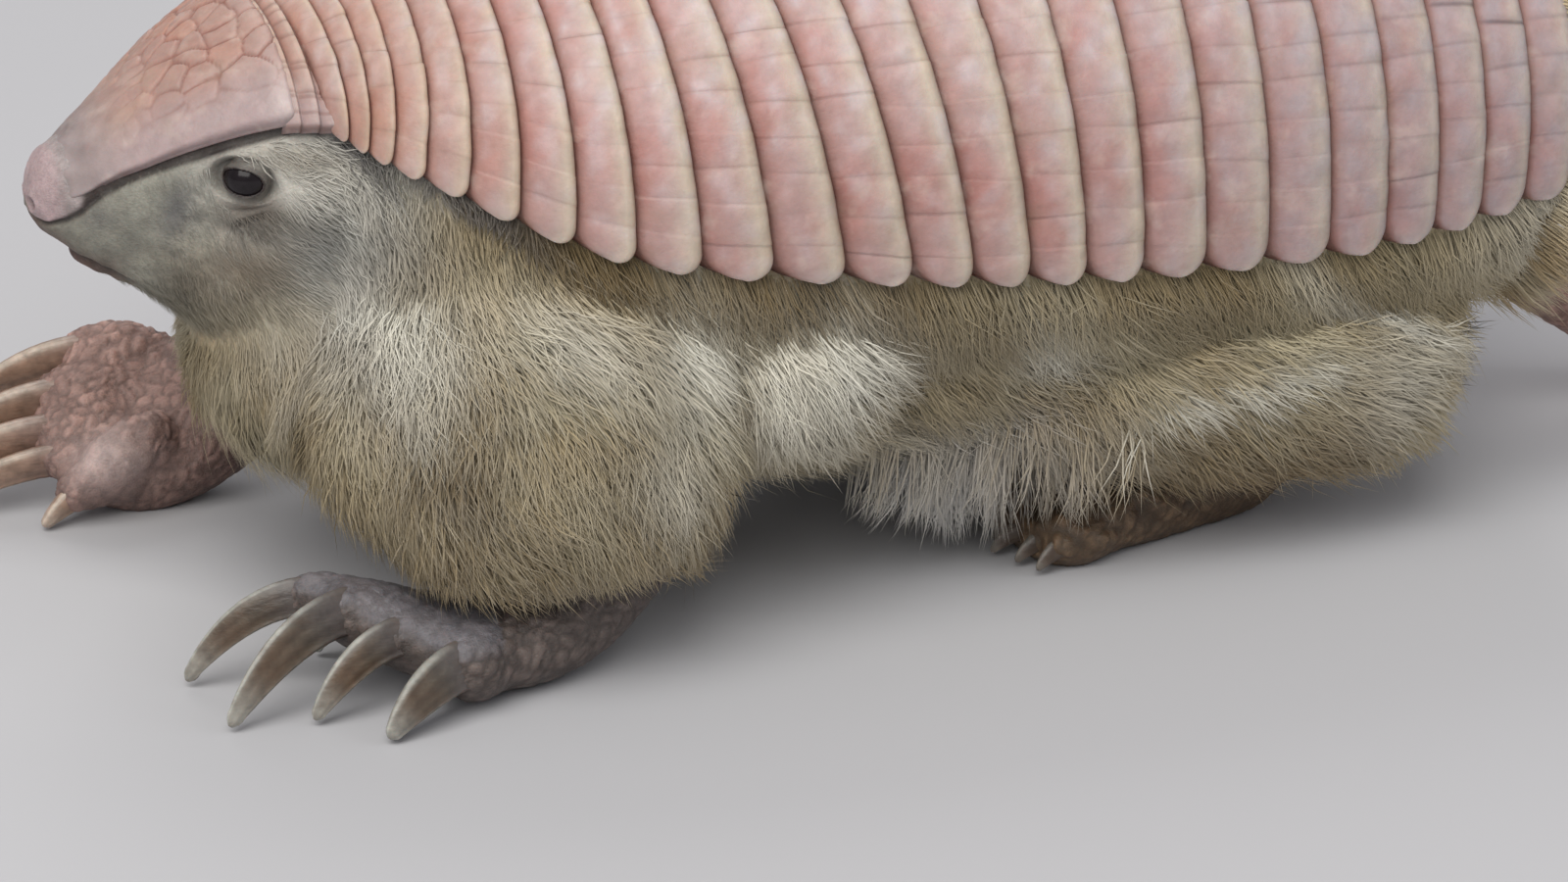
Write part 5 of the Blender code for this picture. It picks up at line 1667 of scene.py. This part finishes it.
def build_strands(looks, mesh, places):
    """Long hairs that hang over the hind feet and from the hem of the forelegs."""
    dice = np.random.default_rng(5)
    points = millimetres(mesh)
    named = places.parts(points)
    x, y, z = points.T
    hind = has(named, "hindleg") & (z > 8.5) & (z < 15.5) & (np.abs(y) > 12) & (x < 14)
    hind |= (named == "trunk") & (x > -4.5) & (x < 7) & (z > 7.5) & (z < 14.5) & (np.abs(y) > 12.5)
    fore = has(named, "foreleg") & (z > 10.5) & (z < 15)
    density = np.where(hind, 12.0, 0.0) * (0.15 + 0.85 * bump(x - 2.0, 6.0)) * (1 - 0.8 * bump(x - 6.2, 0.9))
    roots, outs = sample(mesh, density + np.where(fore, 2.5, 0.0), 13)
    hits = places.nearest(roots)
    labels = places.named(hits)
    number = len(roots)
    x, y, z = roots.T
    hind = ~has(labels, "foreleg")
    side = np.where(y < 0, -1.0, 1.0)
    lie = np.where(hind[:, None], stack(-0.12, side * 0.3, -1.0), stack(0.15, side * 0.2, -1.0))
    lie = unit(lie) + dice.normal(0, 0.12, (number, 3))
    lie = unit(along_skin(lie, outs, 0.7))
    length = np.where(hind, 8.6, 5.0) * dice.uniform(0.7, 1.15, number)
    room = np.where(hind, z - np.interp(x, (-4, 1, 4, 12), (6.0, 2.8, 3.0, 5.2)), z - hem_height(x, labels) + 0.9)
    length = np.minimum(length, room * 1.1)
    rise = np.where(hind, 1.5, 1.1) * dice.uniform(0.6, 1.3, number)
    width = dice.uniform(0.045, 0.075, number)
    centres, lock = locks_of(roots, 26, dice)
    middle = roots[centres[lock]] - roots
    lie = unit(lie + 0.75 * (lie[centres[lock]] - lie) + middle * 0.6 / length[:, None])
    base = coat_colour(roots)
    colours = base * dice.uniform(0.9, 1.08, (number, 1)) * dice.uniform(0.88, 1.08, (len(centres), 1))[lock]
    grown = (roots, outs, lie, length, rise, width, colours, layered(base, (0.6, 240, 236, 226)))
    grow("coat_strands", looks, places, dice, hits, np.arange(number), grown, STRAND_RINGS)


def build_fringe(looks, places):
    """Pale hairs that stand out between the last band and the rump plate, all round but for the tail's notch."""
    dice = np.random.default_rng(6)
    number = 3600
    across, up, tall = rump_edge(dice.uniform(0, 2 * math.pi, number))
    edge = dice.uniform(0.975, 1.02, number)
    far, high = across * RUMP_HALF_WIDTH * edge, up * tall * edge
    keep = (np.abs(far) > 6.5) | (high > 0)
    far, high = far[keep], high[keep]
    number = len(far)
    roots = rump_at(far, high, dice.uniform(-0.9, 0.2, number))
    middle = rump_at(0.0, 0.0, 0.0)
    back, outs = unit(rump_at(0.0, 0.0, 1.0) - middle), unit(rump_at(far, high, 0.0) - middle)
    side = np.where(far < 0, -1.0, 1.0)
    lie = unit(back + stack(0.0, side * 0.1, -0.35) + dice.normal(0, 0.12, (number, 3)))
    low = steps(2.0, -9.0, high)
    length = dice.uniform(2.4, 4.2, number) * (1 + 0.4 * low)
    rise = dice.uniform(0.4, 1.5, number) * (0.9 + 0.6 * low)
    width = dice.uniform(0.045, 0.07, number)
    base = mix(srgb(222, 208, 176), srgb(188, 164, 124), patches(roots, 4.0, 44))
    colours = base * dice.uniform(0.9, 1.08, (number, 1))
    grown = (roots, outs, lie, length, rise, width, colours, layered(base, (0.6, 244, 238, 222)))
    grow("coat_rump", looks, places, dice, places.nearest(roots), np.arange(number), grown)


def build_face_fur(looks, mesh, places):
    """Short fur on the cheeks, muzzle and chin, which lengthens towards the neck."""
    dice = np.random.default_rng(4)
    points = millimetres(mesh)
    x, y, z = points.T
    face = np.isin(places.parts(points), ("head", "throat", "trunk")) & (x > -54.0) & (x < -36.5) & (z > 17.5)
    face &= (line_distance(points) > 0.8 + 0.4 * steps(-45, -40, x)) & ~((x > -41.2) & (z > rim_height(x) + 0.9))
    density = np.where(face, np.interp(x, (-54.5, -50, -44, -40, -36.5), (42, 40, 34, 22, 3)), 0.0)
    for side in WORD:
        centre, ahead, up, _ = frame_at_eye(side)
        local = points - centre
        r = eye_opening(local @ ahead, local @ up)
        density = np.where((np.linalg.norm(local, axis=1) < 4) & (r < 2.1), 0.0, density)
    roots, outs = sample(mesh, density, 12)
    hits = places.nearest(roots)
    lie = lie_of(roots, outs, places.named(hits), dice)
    number = len(roots)
    x, y, z = roots.T
    length = np.interp(x, (-54, -50, -45, -41, -38), (0.5, 0.9, 1.6, 2.8, 4.2)) * dice.uniform(0.7, 1.25, number)
    length *= np.interp(z, (17, 21, 27), (2.3, 2.0, 1.0))
    rise = length * dice.uniform(0.12, 0.36, number)
    width = np.interp(x, (-54, -50, -44, -38), (0.024, 0.03, 0.038, 0.052)) * dice.uniform(0.8, 1.2, number)
    centres, lock = locks_of(roots, 40, dice)
    pull = dice.uniform(0.0, 0.6, (number, 1))
    middle = roots[centres[lock]] - roots
    lie = unit(lie + 0.6 * pull * (lie[centres[lock]] - lie) + middle * pull * 0.5 / length[:, None])
    base = coat_colour(roots)
    tone = dice.uniform(0.9, 1.08, (number, 1)) * dice.uniform(0.94, 1.05, (len(centres), 1))[lock]
    grown = (roots, outs, lie, length, rise, width, base * tone, layered(base, (0.26, 226, 222, 208)))
    order = np.argsort(places.loft[hits], kind="stable")
    grow("face_fur_{:02d}", looks, places, dice, hits, order, grown, slot="short_fur")


# ---------------------------------------------------------------- studio
FLOOR_HALF = 3.0
LAMPS = (
    ("key", (-0.35, -0.42, 0.64), 0.8, 7.3, (1.0, 0.98, 0.94)),
    ("fill", (0.6, -0.5, 0.45), 0.6, 0.9, (0.95, 0.97, 1.0)),
    ("back", (0.1, 0.6, 0.6), 0.5, 1.7, (1.0, 0.98, 0.96)),
)  # name, place, size, watts, colour
LAMPS_AIM = Vector((0, 0, 0.02))
LENS = 147.4  # the camera's focal length
CAMERA_AT = (-145.5, -386.4, 171.5)
CAMERA_YAW, CAMERA_PITCH = 20, 22  # how far it looks towards the tail and down, in degrees


def build_studio():
    """A pale floor, three soft lamps, a dim sky and the camera."""
    floor = bpy.data.meshes.new("floor")
    half = FLOOR_HALF
    floor.from_pydata([(-half, -half, 0), (half, -half, 0), (half, half, 0), (-half, half, 0)], [], [(0, 1, 2, 3)])
    stage = link("floor", floor)
    paint = bpy.data.materials.new("floor_paint")
    paint.use_nodes = True
    shader = paint.node_tree.nodes["Principled BSDF"]
    shader.inputs["Base Color"].default_value = (0.52, 0.52, 0.54, 1)
    shader.inputs["Roughness"].default_value = 0.75
    floor.materials.append(paint)
    world = bpy.data.worlds.new("studio")
    world.use_nodes = True
    sky = world.node_tree.nodes["Background"]
    sky.inputs["Color"].default_value = (0.95, 0.95, 1.0, 1)
    sky.inputs["Strength"].default_value = 0.32
    bpy.context.scene.world = world
    for name, place, size, power, colour in LAMPS:
        lamp = bpy.data.lights.new(name, "AREA")
        lamp.size, lamp.energy, lamp.color = size, power, colour
        obj = link(name, lamp)
        obj.location = place
        obj.rotation_mode = "QUATERNION"
        obj.rotation_quaternion = (LAMPS_AIM - Vector(place)).to_track_quat("-Z", "Y")
    lens = bpy.data.cameras.new("camera")
    lens.lens = LENS
    lens.clip_start, lens.clip_end = 0.01, 20
    camera = link("camera", lens)
    (level, turn), (flat, down) = cos_sin(CAMERA_YAW), cos_sin(CAMERA_PITCH)
    right = Vector((level, -turn, 0))
    ahead = Vector((turn * flat, level * flat, -down))
    up = right.cross(ahead)
    place = to_frame(CAMERA_AT)
    camera.matrix_world = Matrix((*zip(right, up, -ahead, place), (0, 0, 0, 1)))
    bpy.context.scene.camera = camera
    bpy.context.scene.view_settings.view_transform = "Standard"


def main():
    build_studio()
    looks = make_looks()
    lofts = body_lofts()
    places = Places(lofts)
    skin = build_skin(looks, lofts, places)
    build_bands(looks)
    build_head_shield(looks)
    build_collar(looks)
    build_rump(looks)
    build_claws(looks)
    build_eyes(looks)
    build_coat(looks, skin, places)
    build_strands(looks, skin, places)
    build_fringe(looks, places)
    build_face_fur(looks, skin, places)


main()
